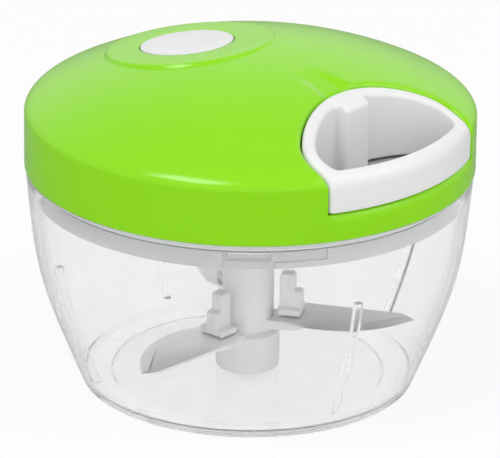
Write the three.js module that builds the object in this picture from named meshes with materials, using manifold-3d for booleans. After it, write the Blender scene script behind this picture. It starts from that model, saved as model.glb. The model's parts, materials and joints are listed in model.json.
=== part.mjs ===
// Pull-cord vegetable chopper.
// A clear bowl carries a three-blade rotor on a steel pin. The domed lid holds a cord reel with a flat
// return spring: pulling the handle turns the reel, its pawls drive a toothed cup, and the cup turns the rotor.
// Lengths are in millimetres and angles in degrees. Z is up, the base lies at zero and the handle faces +X.
import * as THREE from "three";
import { mergeVertices } from "three/addons/utils/BufferGeometryUtils.js";
import Module from "manifold-3d";

const wasm = await Module();
wasm.setup();

// Clearances
const seatGap = 0.3;
const runningGap = 0.4;
const screwGap = 0.3;
const cutOver = 2;
const weldDepth = 0.8;

// Bowl
const bowlHeight = 63.2;
const bowlRimRadius = 62.5;
const bowlFootInset = 18;
const bowlFootRadius = bowlRimRadius - bowlFootInset;
const bowlCornerHeight = 2.5;
const bowlCornerFlare = 3.1;
const bowlCornerTopRadius = bowlFootRadius + bowlCornerFlare;
const bowlWallRadiusShares = [0.8, 0.82];
const bowlWallHeightShares = [0.48, 0.5];
const bowlWall = 2;
const bowlFloor = 2.6;
const bowlInnerCorner = 3;
const bowlRecessDepth = 0.6;
const bowlFootWidth = 6.5;
const bowlRecessRadius = bowlFootRadius - bowlFootWidth;
const bowlRibCount = 4;
const bowlRibAngle = -17;
const bowlRibTopShare = 0.609;
const bowlRibTop = bowlRibTopShare * bowlHeight;
const bowlRibDepth = 1.8;
const bowlRibWidth = 2;
const lugCount = 4;
const lugAngle = -48;
const lugWidth = 12.6;
const lugPoint = 1;
const lugHeight = 2;
const lugDrop = 4;
const lugCentre = bowlHeight - lugDrop;
const lugReach = 1.4;

// Steel pin and its boss in the bowl
const pinRadius = 2;
const pinFloor = 0.8;
const pinBottom = bowlFloor + pinFloor + seatGap;
const pinLength = 12.1;
const pinTop = pinBottom + pinLength;
const pinTipRound = 0.6;
const pinBossHeight = 5.4;
const pinBossTop = bowlFloor + pinBossHeight;
const pinBossWall = 2.9;
const pinBossTopRadius = pinRadius + seatGap + pinBossWall;
const pinBossTaper = 0.8;
const pinBossFootRadius = pinBossTopRadius + pinBossTaper;

// Rotor column
const columnSkirtWall = 2.1;
const columnSkirtGap = 0.9;
const columnSkirtRadius = pinBossFootRadius + columnSkirtGap + columnSkirtWall;
const columnFloorGap = 0.6;
const columnBottom = bowlFloor + columnFloorGap;
const columnSkirtHeight = 10.4;
const columnCeiling = columnBottom + columnSkirtHeight;
const columnShoulderRise = 1;
const columnShoulder = columnCeiling + columnShoulderRise;
const columnRadius = 7.25;
const columnChamfer = 0.7;
const bushWall = 1.9;
const bushBossGap = 1.2;
const bushBottom = pinBossTop + bushBossGap;
const bushCap = 1.1;
const bushTop = pinTop + seatGap + bushCap;
const bushFlange = 1;
const hexRadius = 5.2;
const hexChamfer = 0.8;

// Blades, each on an arm of the column under a stepped clamp
const bladeThickness = 1;
const bladeRises = [3.9, 7.6, 0.3];
const bladeLevels = bladeRises.map((rise) => columnShoulder + rise);
const bladeAngles = [31, 151, 271];
const clampInset = 2.05;
const clampStart = columnRadius + clampInset;
const clampLength = 6.4;
const clampEnd = clampStart + clampLength;
const clampHalfWidth = 4.2;
const clampPlate = 1.8;
const clampPinInset = 2.9;
const clampPinReach = clampStart + clampPinInset;
const clampPinRadius = 1.5;
const finHalfWidth = 1.9;
const finLowHeight = 6.8;
const finHighHeight = 11.8;
const finStep = 2.2;
const finRound = 0.8;
const bladeRootGap = 0.75;
const bladeRootStart = columnRadius + bladeRootGap;
const bladeRootHalfWidth = 4.4;
const bladeTipGap = 0.6;
const bladeTipReach = bowlCornerTopRadius - bladeTipGap;
const bladeTipOffset = 3;
const bladeTipLength = 4;
const bladeBackReach = bladeTipReach - bladeTipLength;
const bladeBackOffset = 5.8;
const bladeHeelInset = 0.2;
const bladeHeelReach = clampEnd - bladeHeelInset;
const bladeHeelOffset = 7.6;
const bladeBellyReachShare = 0.745;
const bladeBellyReach = bladeBellyReachShare * bladeTipReach;
const bladeBellyOffset = 13.4;
const bladeToeLength = 2.3;
const bladeToeReach = clampEnd + bladeToeLength;
const bladeToeOffset = 9.4;
const bladeEdgeWidth = 2.2;
const bladeEdgeThickness = 0.3;
const bladeSpineOffset = 5.6;
const armEndGap = 0.7;
const armReach = clampEnd + armEndGap;
const armHalfWidth = 4.6;
const armThickness = 2.8;
const armHoleDepth = 2;

// Screws
const screwRadius = 1.3;
const screwHeadRadius = 2.9;
const screwHeadThickness = 1.6;
const screwSlotWidth = 0.8;
const screwSlotDepth = 0.7;
const bridgeScrewLength = 8;
const lidScrewLength = 10;

// White chassis that closes the lid and plugs the bowl
const lidRimBottom = bowlHeight + seatGap;
const plugDepth = 7.9;
const plugBottom = lidRimBottom - plugDepth;
const plugGap = 1.1;
const plugRadius = bowlRimRadius - bowlWall - plugGap;
const plugWall = 2.8;
const sleeveHeight = 5.5;
const sleeveTop = lidRimBottom + sleeveHeight;
const sleeveWall = 2;
const deckDrop = 2.9;
const deckBottom = lidRimBottom - deckDrop;
const deckThickness = 2;
const deckTop = deckBottom + deckThickness;
const collarDepth = 3;
const collarWall = 2;
const deckRibCount = 6;
const deckRibFirstAngle = 67.5;
const deckRibStep = 45;
const deckRibDepth = 2.6;
const deckRibWidth = 1.6;
const plinthGap = 0.5;
const plinthWall = 1.8;
const lugSlotDepth = 1.2;
const lugSlotGap = 0.7;
const lugSlotRun = 14;
const sealDrop = 1.1;
const sealTop = lidRimBottom - sealDrop;
const sealHeight = 1.5;
const sealDepth = 1.2;
const sealProud = 0.5;
const postAngles = [75, 180, -75];
const postRadius = 3.8;

// Toothed drive cup with the hexagonal socket
const cupHang = 10;
const cupBottom = deckBottom - cupHang;
const columnTop = cupBottom - runningGap;
const cupSocketWall = 3;
const cupNeckFlare = 3.6;
const cupNeckRadius = hexRadius + runningGap + cupSocketWall + cupNeckFlare;
const cupConeDrop = 1;
const cupConeTop = deckBottom - cupConeDrop;
const socketTop = deckBottom - runningGap;
const hexEndGap = 0.6;
const hexTop = socketTop - hexEndGap;
const cupFlangeThickness = 1.6;
const cupFloor = deckTop + seatGap;
const cupFloorTop = cupFloor + cupFlangeThickness;
const cupTeethHeight = 5.1;
const cupRimTop = cupFloorTop + cupTeethHeight;
const cupRimWall = 2.1;

// Axle and the round pieces on it
const axleRadius = 2.5;
const axleHeadFlare = 1.7;
const axleHeadRadius = axleRadius + axleHeadFlare;
const axleHeadThickness = 1;
const axleBottom = socketTop + cupFlangeThickness;
const axleBore = axleRadius + seatGap;
const cupHubWall = 2.6;
const cupHubRadius = axleBore + cupHubWall;
const cupHubHeight = 1.4;
const cupHubTop = cupFloorTop + cupHubHeight;
const washerWall = 2;
const washerRadius = axleBore + washerWall;

// Cord
const cordRadius = 0.8;
const cordTurns = 4;
const cordPitch = 2.05;
const cordBend = 1.5;
const cordHole = 1.1;
const knotRadius = 1.8;
const knotCapRadius = 2.3;
const knotCapThickness = 1;

// Reel
const reelCupGap = 1;
const reelBottom = cupRimTop + reelCupGap;
const reelFloor = 1.6;
const reelFloorTop = reelBottom + reelFloor;
const cordHeight = reelFloorTop + seatGap + cordRadius + cordTurns * cordPitch;
const reelDrumRadius = 19.7;
const reelFlangeDepth = 4.8;
const reelFlangeRadius = reelDrumRadius + reelFlangeDepth;
const reelFlangeEdge = 1.3;
const reelDrumWall = 1.7;
const reelCupRadius = reelDrumRadius - reelDrumWall;
const reelCordGap = 0.6;
const reelDrumTop = cordHeight + cordRadius + reelCordGap;
const reelTop = reelDrumTop + reelFlangeEdge;
const reelHubWall = 1.8;
const reelHubRadius = axleBore + reelHubWall;
const reelWindowCount = 8;
const reelWindowRadius = 1.6;
const windingRadius = reelDrumRadius + seatGap + cordRadius;

// Teeth in the cup, and the pawls that hang from the reel
const cupRimInset = 2.9;
const cupRimRadius = reelFlangeRadius - cupRimInset;
const toothCount = 18;
const toothRootGap = 0.2;
const toothRoot = cupRimRadius - cupRimWall - toothRootGap;
const toothDepth = 1.5;
const toothCrest = toothRoot - toothDepth;
const pawlAngles = [90, 270];
const pawlEyeRadius = 3;
const pawlEyeGap = 0.8;
const pawlCircle = toothCrest - pawlEyeGap - pawlEyeRadius;
const pawlPinRadius = 1.6;
const pawlTipGap = 1;
const pawlTipRadius = toothRoot - pawlTipGap;
const pawlTipDepth = 2;
const pawlReachAngle = 45;
const pawlFaceGapAngle = 7;
const pawlBackAngles = [-20, 180];
const pawlBottom = cupFloorTop + runningGap;
const pawlTop = reelBottom - seatGap;

// Bridge that holds the axle
const bridgeBottom = reelTop + runningGap + seatGap;
const bridgeThickness = 2.1;
const bridgeTop = bridgeBottom + bridgeThickness;
const bridgeDiscRadius = 14;
const bridgeArmHalfWidth = 4.4;
const postGap = 2.2;
const postCircle = reelFlangeRadius + postGap + postRadius;
const arborWall = 1.6;
const arborRadius = axleBore + arborWall;
const arborSlotWidth = 1.1;

// Flat return spring
const springTurns = 6;
const springThickness = 0.4;
const springFloorGap = 1;
const springBottom = reelFloorTop + springFloorGap;
const springTopGap = 1.3;
const springHeight = reelDrumTop - springTopGap - springBottom;
const springInnerGap = 0.7;
const springInnerRadius = arborRadius + springInnerGap;
const springOuterGap = 0.7;
const springOuterRadius = reelCupRadius - springOuterGap;
const springTab = 1.7;
const reelHubTop = springBottom - seatGap;
const arborBottom = reelHubTop + runningGap;

// Lid cover: the dome rises until its inner face clears the bridge's screws
const lidOverhang = 0.3;
const lidRimRadius = bowlRimRadius + lidOverhang;
const lidSkirtHeight = 15.3;
const lidSkirtTop = lidRimBottom + lidSkirtHeight;
const lidSkirtWall = 2;
const lidShoulderInset = 4.3;
const lidShoulderRise = 4.3;
const lidDomeEdgeRadius = lidRimRadius - lidShoulderInset;
const lidDomeEdgeHeight = lidSkirtTop + lidShoulderRise;
const lidDomeQuarticShare = 0.11;
const lidDomeWall = 2.2;
const lidScrewGap = 1.4;
const lidScrewTop = bridgeTop + seatGap + screwHeadThickness;
const lidDomeRise =
  (lidScrewTop + lidScrewGap + lidDomeWall - lidDomeEdgeHeight) / (1 - domeDropShare(postCircle + screwHeadRadius));
const lidApexHeight = lidDomeEdgeHeight + lidDomeRise;
const lidBossRadius = 3.6;
const lidBossInset = 12.8;
const lidBossCircle = lidRimRadius - lidBossInset;
const lidBossAngles = [58, 130, -130, -58];
const lidBossHoleDepth = 9;

// Raised round platform and its plain disc on the dome
const platformCentreShare = 0.371;
const platformCentre = -platformCentreShare * lidRimRadius;
const platformRadiusShare = 0.36;
const platformRadius = platformRadiusShare * lidRimRadius;
const platformDrop = 3.3;
const platformHeight = lidApexHeight - platformDrop;
const platformTilt = 9;
const platformEdge = 0.7;
const platformRoot = 7;
const discMargin = 9.5;
const discRadius = platformRadius - discMargin;
const discThickness = 1;
const discProud = 0.3;

// Handle pocket and handle
const pocketCentreOverhang = 7;
const pocketCentre = lidRimRadius + pocketCentreOverhang;
const pocketReelGap = 6.9;
const pocketApex = reelFlangeRadius + pocketReelGap;
const pocketRadius = pocketCentre - pocketApex;
const pocketHalfWidth = 29.3;
const pocketShoulderRound = 12;
const pocketWall = 1.6;
const pocketLipRise = 2;
const pocketLip = sleeveTop + pocketLipRise;
const handleCorner = 1.2;
const handleInnerCorner = 4;
const handleWall = 3.8;
const handleBossHalfWidth = 5;
const handleBossReach = 4;
const handleBossRound = 1.2;
const handleTopInset = 0.2;
const knotWall = 2.4;

// Finger groove that runs into the handle pocket
const grooveLength = 14;
const grooveOverrun = 1.9;
const grooveEnd = pocketApex + grooveOverrun;
const grooveStart = grooveEnd - grooveLength;
const grooveHalfWidth = 4.5;
const grooveDepth = 1.4;

// Cord guide, an eyelet in the pocket wall
const guideThroat = 1.2;
const guideFlare = 1.3;
const guideNeck = 2.9;
const guideFlange = 4.6;
const guideFlangeThickness = 1.3;
const guideFlangeFace = pocketApex - pocketWall - seatGap;
const guideMouth = guideFlangeFace - guideFlangeThickness;
const cordCorner = guideMouth + guideThroat / 2;
const leaveAngle = Math.acos(windingRadius / cordCorner);

// Facets
const largeSides = 48;
const mediumSides = 28;
const smallSides = 16;
const screwSides = 12;
const cordSides = 8;
const windingSides = 6;
const stepsPerTurn = 24;
const springStepsPerTurn = 18;
const leadSteps = 16;
const pawlSteps = 6;
const wallSteps = 7;
const scoopSteps = 12;
const bendSteps = 4;
const rimSteps = 8;
const shoulderSteps = 3;
const domeSteps = 6;
const cornerSteps = 3;

// Materials
const green = { color: 0x84dc14, roughness: 0.28, metalness: 0 };
const white = { color: 0xf2f2f0, roughness: 0.4, metalness: 0 };
const clear = { color: 0xf4f7f8, roughness: 0.08, metalness: 0, transparent: true, opacity: 0.3 };
const steel = { color: 0xb9bbbd, roughness: 0.3, metalness: 1 };
const nylon = { color: 0xdcdad2, roughness: 0.5, metalness: 0 };
const silicone = { color: 0xe4e6e6, roughness: 0.6, metalness: 0 };
const cordWhite = { color: 0xe9e7e0, roughness: 0.9, metalness: 0 };

const radians = THREE.MathUtils.degToRad;

// A closed geometry as a solid that can be joined and cut.
function solidFrom(geometry) {
  const bare = geometry.clone();
  bare.deleteAttribute("normal");
  bare.deleteAttribute("uv");
  const merged = mergeVertices(bare);
  const mesh = new wasm.Mesh({
    numProp: 3,
    vertProperties: new Float32Array(merged.attributes.position.array),
    triVerts: new Uint32Array(merged.index.array),
  });
  return new wasm.Manifold(mesh);
}

// A profile of [radius, height] points turned about the Z axis.
function revolve(profile, sides) {
  const points = profile.map(([radius, height]) => new THREE.Vector2(radius, height));
  return solidFrom(new THREE.LatheGeometry(points, sides).rotateX(Math.PI / 2));
}

// A shape in the XY plane raised from one height to another.
function prism(shape, bottom, top, curveSegments) {
  const options = { depth: top - bottom, bevelEnabled: false, curveSegments };
  return solidFrom(new THREE.ExtrudeGeometry(shape, options).translate(0, 0, bottom));
}

// A round bar that stands along Z, or a cone where a second radius is given.
function bar(x, y, radius, bottom, top, sides, topRadius = radius) {
  const geometry = new THREE.CylinderGeometry(topRadius, radius, top - bottom, sides);
  geometry.rotateX(Math.PI / 2);
  return solidFrom(geometry.translate(x, y, (bottom + top) / 2));
}

// A box given by its two corners.
function block(low, high) {
  const size = high.map((value, i) => value - low[i]);
  const centre = high.map((value, i) => (value + low[i]) / 2);
  return solidFrom(new THREE.BoxGeometry(...size).translate(...centre));
}

// A tube of any section along a curve.
function tube(curve, radius, sides, steps) {
  const section = new THREE.Shape();
  for (let i = 0; i < sides; i++) {
    const angle = (2 * Math.PI * i) / sides;
    const point = [radius * Math.cos(angle), radius * Math.sin(angle)];
    if (i === 0) section.moveTo(...point);
    else section.lineTo(...point);
  }
  section.closePath();
  return new THREE.ExtrudeGeometry(section, { steps, extrudePath: curve, curveSegments: 1 });
}

function polygon(points) {
  return new THREE.Shape(points.map(([x, y]) => new THREE.Vector2(x, y)));
}

function polar(radius, degrees) {
  return [radius * Math.cos(radians(degrees)), radius * Math.sin(radians(degrees))];
}

function turned(solid, degrees) {
  return solid.rotate([0, 0, degrees]);
}

// Points of a curve as [radius, height] pairs, without the first one.
function curvePoints(curve, steps) {
  return curve.getPoints(steps).slice(1).map((point) => [point.x, point.y]);
}

function quadratic(from, control, to, steps) {
  const ends = [from, control, to].map((pair) => new THREE.Vector2(...pair));
  return curvePoints(new THREE.QuadraticBezierCurve(...ends), steps);
}

// Outline of the handle pocket, moved inwards by an inset: a scoop that rounds into two straight sides, closed by
// a rim about the origin.
function halfMoon(inset, rim, corner) {
  const side = pocketHalfWidth - inset;
  const scoop = pocketRadius - inset;
  const shoulder = pocketShoulderRound - inset;
  const shoulderY = side - shoulder;
  const shoulderX = pocketCentre - Math.sqrt((scoop - shoulder) ** 2 - shoulderY ** 2);
  const scoopAngle = Math.atan2(shoulderY, shoulderX - pocketCentre);
  const cornerY = side - corner;
  const cornerX = Math.sqrt((rim - corner) ** 2 - cornerY ** 2);
  const rimAngle = Math.atan2(cornerY, cornerX);
  const quarter = Math.PI / 2;
  const arcs = [
    [0, 0, rim, -rimAngle, rimAngle, rimSteps],
    [cornerX, cornerY, corner, rimAngle, quarter, cornerSteps],
    [shoulderX, shoulderY, shoulder, quarter, scoopAngle, bendSteps],
    [pocketCentre, 0, scoop, scoopAngle, 2 * Math.PI - scoopAngle, scoopSteps],
    [shoulderX, -shoulderY, shoulder, 2 * Math.PI - scoopAngle, 3 * quarter, bendSteps],
    [cornerX, -cornerY, corner, 3 * quarter, 2 * Math.PI - rimAngle, cornerSteps],
  ];
  const points = arcs.flatMap(([x, y, radius, from, to, steps]) =>
    new THREE.EllipseCurve(x, y, radius, radius, from, to).getPoints(steps),
  );
  return new THREE.Shape(points);
}

const chopper = new THREE.Group();

function addNode(name, solid, look, parent = chopper) {
  let geometry = solid;
  if (!solid.isBufferGeometry) {
    const { numProp, vertProperties, triVerts } = solid.getMesh();
    const count = vertProperties.length / numProp;
    const places = new Float32Array(3 * count);
    for (let i = 0; i < count; i++) {
      places.set(vertProperties.subarray(i * numProp, i * numProp + 3), 3 * i);
    }
    geometry = new THREE.BufferGeometry();
    geometry.setAttribute("position", new THREE.BufferAttribute(places, 3));
    geometry.setIndex(new THREE.BufferAttribute(triVerts, 1));
    geometry.computeVertexNormals();
  }
  const mesh = new THREE.Mesh(geometry, new THREE.MeshStandardMaterial(look));
  mesh.name = name;
  parent.add(mesh);
  return mesh;
}

// Bowl wall: the outer face as one curve from the rounded foot to the rim.
const bowlWallStart = [bowlCornerTopRadius, bowlCornerHeight];
const bowlWallControls = bowlWallRadiusShares.map((radiusShare, i) => [
  bowlCornerTopRadius + radiusShare * (bowlRimRadius - bowlCornerTopRadius),
  bowlCornerHeight + bowlWallHeightShares[i] * (bowlHeight - bowlCornerHeight),
]);
const bowlWallEnds = [bowlWallStart, ...bowlWallControls, [bowlRimRadius, bowlHeight]];
const bowlWallCurve = new THREE.CubicBezierCurve(...bowlWallEnds.map((pair) => new THREE.Vector2(...pair)));
const bowlWallPoints = bowlWallCurve.getPoints(wallSteps).map((point) => [point.x, point.y]);

function bowlOuterRadius(height) {
  const above = bowlWallPoints.findIndex(([, z]) => z >= height);
  const [highRadius, high] = bowlWallPoints[above];
  const [lowRadius, low] = bowlWallPoints[above - 1];
  return lowRadius + ((highRadius - lowRadius) * (height - low)) / (high - low);
}

function makeBowl() {
  const [controlRadius, controlHeight] = bowlWallControls[0];
  const slope = (controlRadius - bowlCornerTopRadius) / (controlHeight - bowlCornerHeight);
  const footControl = [bowlCornerTopRadius - slope * bowlCornerHeight, 0];
  const innerCornerHeight = bowlFloor + bowlInnerCorner;
  const innerWall = bowlWallPoints
    .filter(([, height]) => height > innerCornerHeight)
    .map(([radius, height]) => [radius - bowlWall, height])
    .reverse();
  const innerCornerTop = [bowlOuterRadius(innerCornerHeight) - bowlWall, innerCornerHeight];
  const innerCornerFoot = [innerCornerTop[0] - bowlInnerCorner, bowlFloor];
  const holeRadius = pinRadius + seatGap;
  const body = revolve(
    [
      [0, bowlRecessDepth],
      [bowlRecessRadius, bowlRecessDepth],
      [bowlRecessRadius + bowlRecessDepth, 0],
      [bowlFootRadius, 0],
      ...quadratic([bowlFootRadius, 0], footControl, bowlWallStart, cornerSteps),
      ...bowlWallPoints.slice(1),
      ...innerWall,
      innerCornerTop,
      ...quadratic(innerCornerTop, [innerCornerTop[0], bowlFloor], innerCornerFoot, cornerSteps),
      [pinBossFootRadius, bowlFloor],
      [pinBossTopRadius, pinBossTop],
      [holeRadius, pinBossTop],
      [holeRadius, pinBottom - seatGap],
      [0, pinBottom - seatGap],
    ],
    largeSides,
  );
  // Ribs stand on the inner wall: plates trimmed to a sleeve that follows the wall.
  const sleeve = revolve(
    [
      ...bowlWallPoints.map(([radius, height]) => [radius - weldDepth, height]),
      ...bowlWallPoints.map(([radius, height]) => [radius - bowlWall - bowlRibDepth, height]).reverse(),
      [bowlCornerTopRadius - weldDepth, bowlCornerHeight],
    ],
    largeSides,
  );
  const plate = block(
    [bowlRecessRadius, -bowlRibWidth / 2, bowlFloor - weldDepth],
    [bowlRimRadius, bowlRibWidth / 2, bowlRibTop],
  );
  let bowl = body;
  for (let i = 0; i < bowlRibCount; i++) {
    const angle = bowlRibAngle + (i * 360) / bowlRibCount;
    bowl = bowl.add(turned(plate, angle).intersect(sleeve));
  }
  const lug = lugSolid(bowlOuterRadius(lugCentre) - bowlWall - lugReach, bowlRimRadius - weldDepth, 0);
  for (let i = 0; i < lugCount; i++) bowl = bowl.add(turned(lug, lugAngle + (i * 360) / lugCount));
  return bowl;
}

// A long hexagon in the YZ plane, drawn along X between two radii and grown on all sides by a gap.
function lugSolid(from, to, gap) {
  const half = lugWidth / 2 + gap;
  const high = lugHeight / 2 + gap;
  const shape = polygon([
    [-half, 0],
    [-half + lugPoint, -high],
    [half - lugPoint, -high],
    [half, 0],
    [half - lugPoint, high],
    [-half + lugPoint, high],
  ]);
  return prism(shape, from, to, 1).rotate([90, 0, 90]).translate([0, 0, lugCentre]);
}

function makePin() {
  return revolve(
    [
      [0, pinBottom],
      [pinRadius, pinBottom],
      [pinRadius, pinTop - pinTipRound],
      [pinRadius - pinTipRound, pinTop],
      [0, pinTop],
    ],
    smallSides,
  );
}

// Rotor: the bush turns on the pin and the column is moulded round it.
const bushBore = pinRadius + seatGap;
const bushRadius = bushBore + bushWall;

function makeBush() {
  return revolve(
    [
      [bushBore, bushBottom],
      [bushRadius + bushFlange, bushBottom],
      [bushRadius + bushFlange, bushBottom + bushFlange],
      [bushRadius, bushBottom + bushFlange],
      [bushRadius, bushTop],
      [0, bushTop],
      [0, pinTop + seatGap],
      [bushBore, pinTop + seatGap],
      [bushBore, bushBottom],
    ],
    smallSides,
  );
}

function makeColumn() {
  const bore = bushRadius + seatGap;
  const skirtBore = columnSkirtRadius - columnSkirtWall;
  let column = revolve(
    [
      [0, bushTop + seatGap],
      [bore, bushTop + seatGap],
      [bore, columnCeiling],
      [skirtBore, columnCeiling],
      [skirtBore, columnBottom],
      [columnSkirtRadius, columnBottom],
      [columnSkirtRadius, columnCeiling],
      [columnRadius, columnShoulder],
      [columnRadius, columnTop - columnChamfer],
      [columnRadius - columnChamfer, columnTop],
      [0, columnTop],
    ],
    mediumSides,
  );
  const hexagon = bar(0, 0, hexRadius, columnTop - weldDepth, hexTop - hexChamfer, 6);
  const lead = bar(0, 0, hexRadius, hexTop - hexChamfer, hexTop, 6, hexRadius - hexChamfer);
  column = column.add(hexagon).add(lead);
  const armShape = new THREE.Shape();
  armShape.moveTo(columnRadius - weldDepth, -armHalfWidth);
  armShape.lineTo(armReach - armHalfWidth, -armHalfWidth);
  armShape.absarc(armReach - armHalfWidth, 0, armHalfWidth, -Math.PI / 2, Math.PI / 2, false);
  armShape.lineTo(columnRadius - weldDepth, armHalfWidth);
  armShape.closePath();
  bladeLevels.forEach((level, i) => {
    const top = level - seatGap;
    const hole = bar(clampPinReach, 0, clampPinRadius + seatGap, top - armHoleDepth, top + cutOver, smallSides);
    const arm = prism(armShape, top - armThickness, top, cornerSteps).subtract(hole);
    column = column.add(turned(arm, bladeAngles[i]));
  });
  return column;
}

// Blade outline: a straight back, a belly that curves up to the tip and a narrow root under the clamp.
function bladeOutline(inset) {
  const shape = new THREE.Shape();
  shape.moveTo(bladeRootStart + inset, -bladeRootHalfWidth + inset);
  shape.lineTo(bladeRootStart + inset, bladeRootHalfWidth - inset);
  shape.lineTo(bladeHeelReach, bladeHeelOffset - inset);
  shape.lineTo(bladeBackReach - inset, bladeBackOffset - inset);
  shape.lineTo(bladeTipReach - inset, bladeTipOffset);
  shape.quadraticCurveTo(bladeBellyReach, -bladeBellyOffset + inset, bladeToeReach, -bladeToeOffset + inset);
  shape.closePath();
  return shape;
}

function makeBlade(level) {
  const top = level + bladeThickness;
  const spine = polygon([
    [bladeRootStart, -bladeRootHalfWidth],
    [bladeToeReach, -bladeSpineOffset],
    [bladeTipReach, -bladeSpineOffset + bladeTipOffset],
    [bladeTipReach, bladeHeelOffset],
    [bladeRootStart, bladeHeelOffset],
  ]);
  const plate = prism(bladeOutline(0), level, top, wallSteps);
  const body = plate.intersect(prism(spine, level - cutOver, top + cutOver, 1));
  const bevel = (bladeThickness - bladeEdgeThickness) / 2;
  const options = {
    depth: bladeEdgeThickness,
    bevelThickness: bevel,
    bevelSize: bladeEdgeWidth,
    bevelOffset: -bladeEdgeWidth,
    bevelSegments: 1,
    curveSegments: wallSteps,
  };
  const ground = new THREE.ExtrudeGeometry(bladeOutline(0), options).translate(0, 0, level + bevel);
  const hole = bar(clampPinReach, 0, clampPinRadius + seatGap, level - cutOver, top + cutOver, smallSides);
  return body.add(solidFrom(ground)).subtract(hole);
}

// Clamp: a plate on the blade's root with a pin through it and a stepped fin above.
function makeClamp(level) {
  const bottom = level + bladeThickness + seatGap;
  const pinEnd = level - seatGap - armHoleDepth + seatGap;
  const plate = block(
    [clampStart, -clampHalfWidth, bottom],
    [clampEnd, clampHalfWidth, bottom + clampPlate],
  );
  const stepStart = clampEnd - finStep;
  const fin = prism(
    polygon([
      [clampStart, 0],
      [clampEnd, 0],
      [clampEnd, finLowHeight - finRound],
      [clampEnd - finRound, finLowHeight],
      [stepStart, finLowHeight],
      [stepStart, finHighHeight - finRound],
      [stepStart - finRound, finHighHeight],
      [clampStart + finRound, finHighHeight],
      [clampStart, finHighHeight - finRound],
    ]),
    -finHalfWidth,
    finHalfWidth,
    1,
  );
  const pin = bar(clampPinReach, 0, clampPinRadius, pinEnd, bottom + clampPlate, smallSides);
  return plate.add(fin.rotate([90, 0, 0]).translate([0, 0, bottom])).add(pin);
}

// Lid: how far the dome has dropped at a radius, as a share of its rise, and the outer face from the skirt
// to the apex, moved inwards by an inset.
function domeDropShare(radius) {
  const share = (radius / lidDomeEdgeRadius) ** 2;
  return (1 - lidDomeQuarticShare) * share + lidDomeQuarticShare * share ** 2;
}

function domeHeight(radius) {
  return lidApexHeight - lidDomeRise * domeDropShare(radius);
}

function lidFace(bottom, skirtInset, domeInset) {
  const edge = lidDomeEdgeRadius - skirtInset;
  const edgeSlope = (2 * lidDomeRise * (1 + lidDomeQuarticShare)) / lidDomeEdgeRadius;
  const skirt = lidRimRadius - skirtInset;
  const edgePoint = [edge, domeHeight(edge) - domeInset];
  const control = [skirt, edgePoint[1] - edgeSlope * (skirt - edge)];
  const skirtPoint = [skirt, lidSkirtTop - domeInset];
  const dome = [];
  for (let i = 1; i <= domeSteps; i++) {
    const radius = edge * (1 - i / domeSteps);
    dome.push([radius, domeHeight(radius) - domeInset]);
  }
  return [[skirt, bottom], skirtPoint, ...quadratic(skirtPoint, control, edgePoint, shoulderSteps), ...dome];
}

// The solid under the lid's face, down to a given height.
function underLid(bottom, skirtInset, domeInset) {
  return revolve([[0, bottom], ...lidFace(bottom, skirtInset, domeInset)], largeSides);
}

function onPlatform(solid) {
  return solid.rotate([0, -platformTilt, 0]).translate([platformCentre, 0, platformHeight]);
}

function makeLidCover() {
  const inside = underLid(lidRimBottom - cutOver, lidSkirtWall, lidDomeWall);
  let lid = underLid(lidRimBottom, 0, 0).subtract(inside);
  const midWall = underLid(deckBottom, lidSkirtWall / 2, lidDomeWall / 2);

  // Pocket wall, as tall as the dome over it
  const pocketTop = lidApexHeight + cutOver;
  const pocketWallBottom = sleeveTop + runningGap;
  const pastRim = lidRimRadius + 2 * cutOver;
  const pocket = halfMoon(0, pastRim, handleCorner);
  const pocketTube = prism(halfMoon(-pocketWall, pastRim, handleCorner), pocketWallBottom, pocketTop)
    .subtract(prism(pocket, pocketWallBottom - cutOver, pocketTop + cutOver));
  lid = lid.add(pocketTube.intersect(midWall));
  lid = lid.subtract(prism(pocket, pocketLip, pocketTop + cutOver));

  // Platform
  const padProfile = [
    [0, -platformRoot],
    [platformRadius, -platformRoot],
    [platformRadius, -platformEdge],
    [platformRadius - platformEdge / 3, -platformEdge / 3],
    [platformRadius - platformEdge, 0],
    [0, 0],
  ];
  const pad = onPlatform(revolve(padProfile, largeSides)).subtract(midWall);
  const shaved = onPlatform(bar(0, 0, platformRadius - platformEdge, 0, platformRoot, largeSides));
  const seat = onPlatform(bar(0, 0, discRadius + seatGap, -discThickness + discProud - seatGap, cutOver, mediumSides));
  lid = lid.add(pad).subtract(shaved).subtract(seat);

  // Finger groove, deeper towards the pocket
  const wedge = prism(
    polygon([
      [grooveStart, domeHeight(grooveStart)],
      [grooveEnd, domeHeight(grooveEnd) - grooveDepth],
      [grooveEnd, lidApexHeight + cutOver],
      [grooveStart, lidApexHeight + cutOver],
    ]),
    -grooveHalfWidth,
    grooveHalfWidth,
    1,
  );
  lid = lid.subtract(wedge.rotate([90, 0, 0]));

  // Screw bosses under the dome
  const bossBottom = deckBottom + deckThickness + runningGap;
  lidBossAngles.forEach((angle) => {
    const [x, y] = polar(lidBossCircle, angle);
    lid = lid.add(bar(x, y, lidBossRadius, bossBottom, lidApexHeight, smallSides).intersect(midWall));
    const holeTop = bossBottom + lidBossHoleDepth;
    lid = lid.subtract(bar(x, y, screwRadius + screwGap, bossBottom - cutOver, holeTop, smallSides));
  });

  // Hole for the cord guide
  const hole = bar(0, 0, guideNeck + seatGap, 0, pocketWall + cutOver, smallSides);
  return lid.subtract(hole.rotate([0, 90, 0]).translate([guideFlangeFace, 0, cordHeight]));
}

function makeDisc() {
  const top = discProud;
  const profile = [
    [0, top - discThickness],
    [discRadius, top - discThickness],
    [discRadius, top - discProud],
    [discRadius - discProud, top],
    [0, top],
  ];
  return onPlatform(revolve(profile, mediumSides));
}

// Handle
const handleRim = lidRimRadius - handleTopInset;
const handleBottom = pocketLip + seatGap;
const handleApex = pocketApex + runningGap;
const handleBossFace = handleApex + handleWall + handleBossReach;
const knotCavityStart = handleApex + knotWall;

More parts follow.
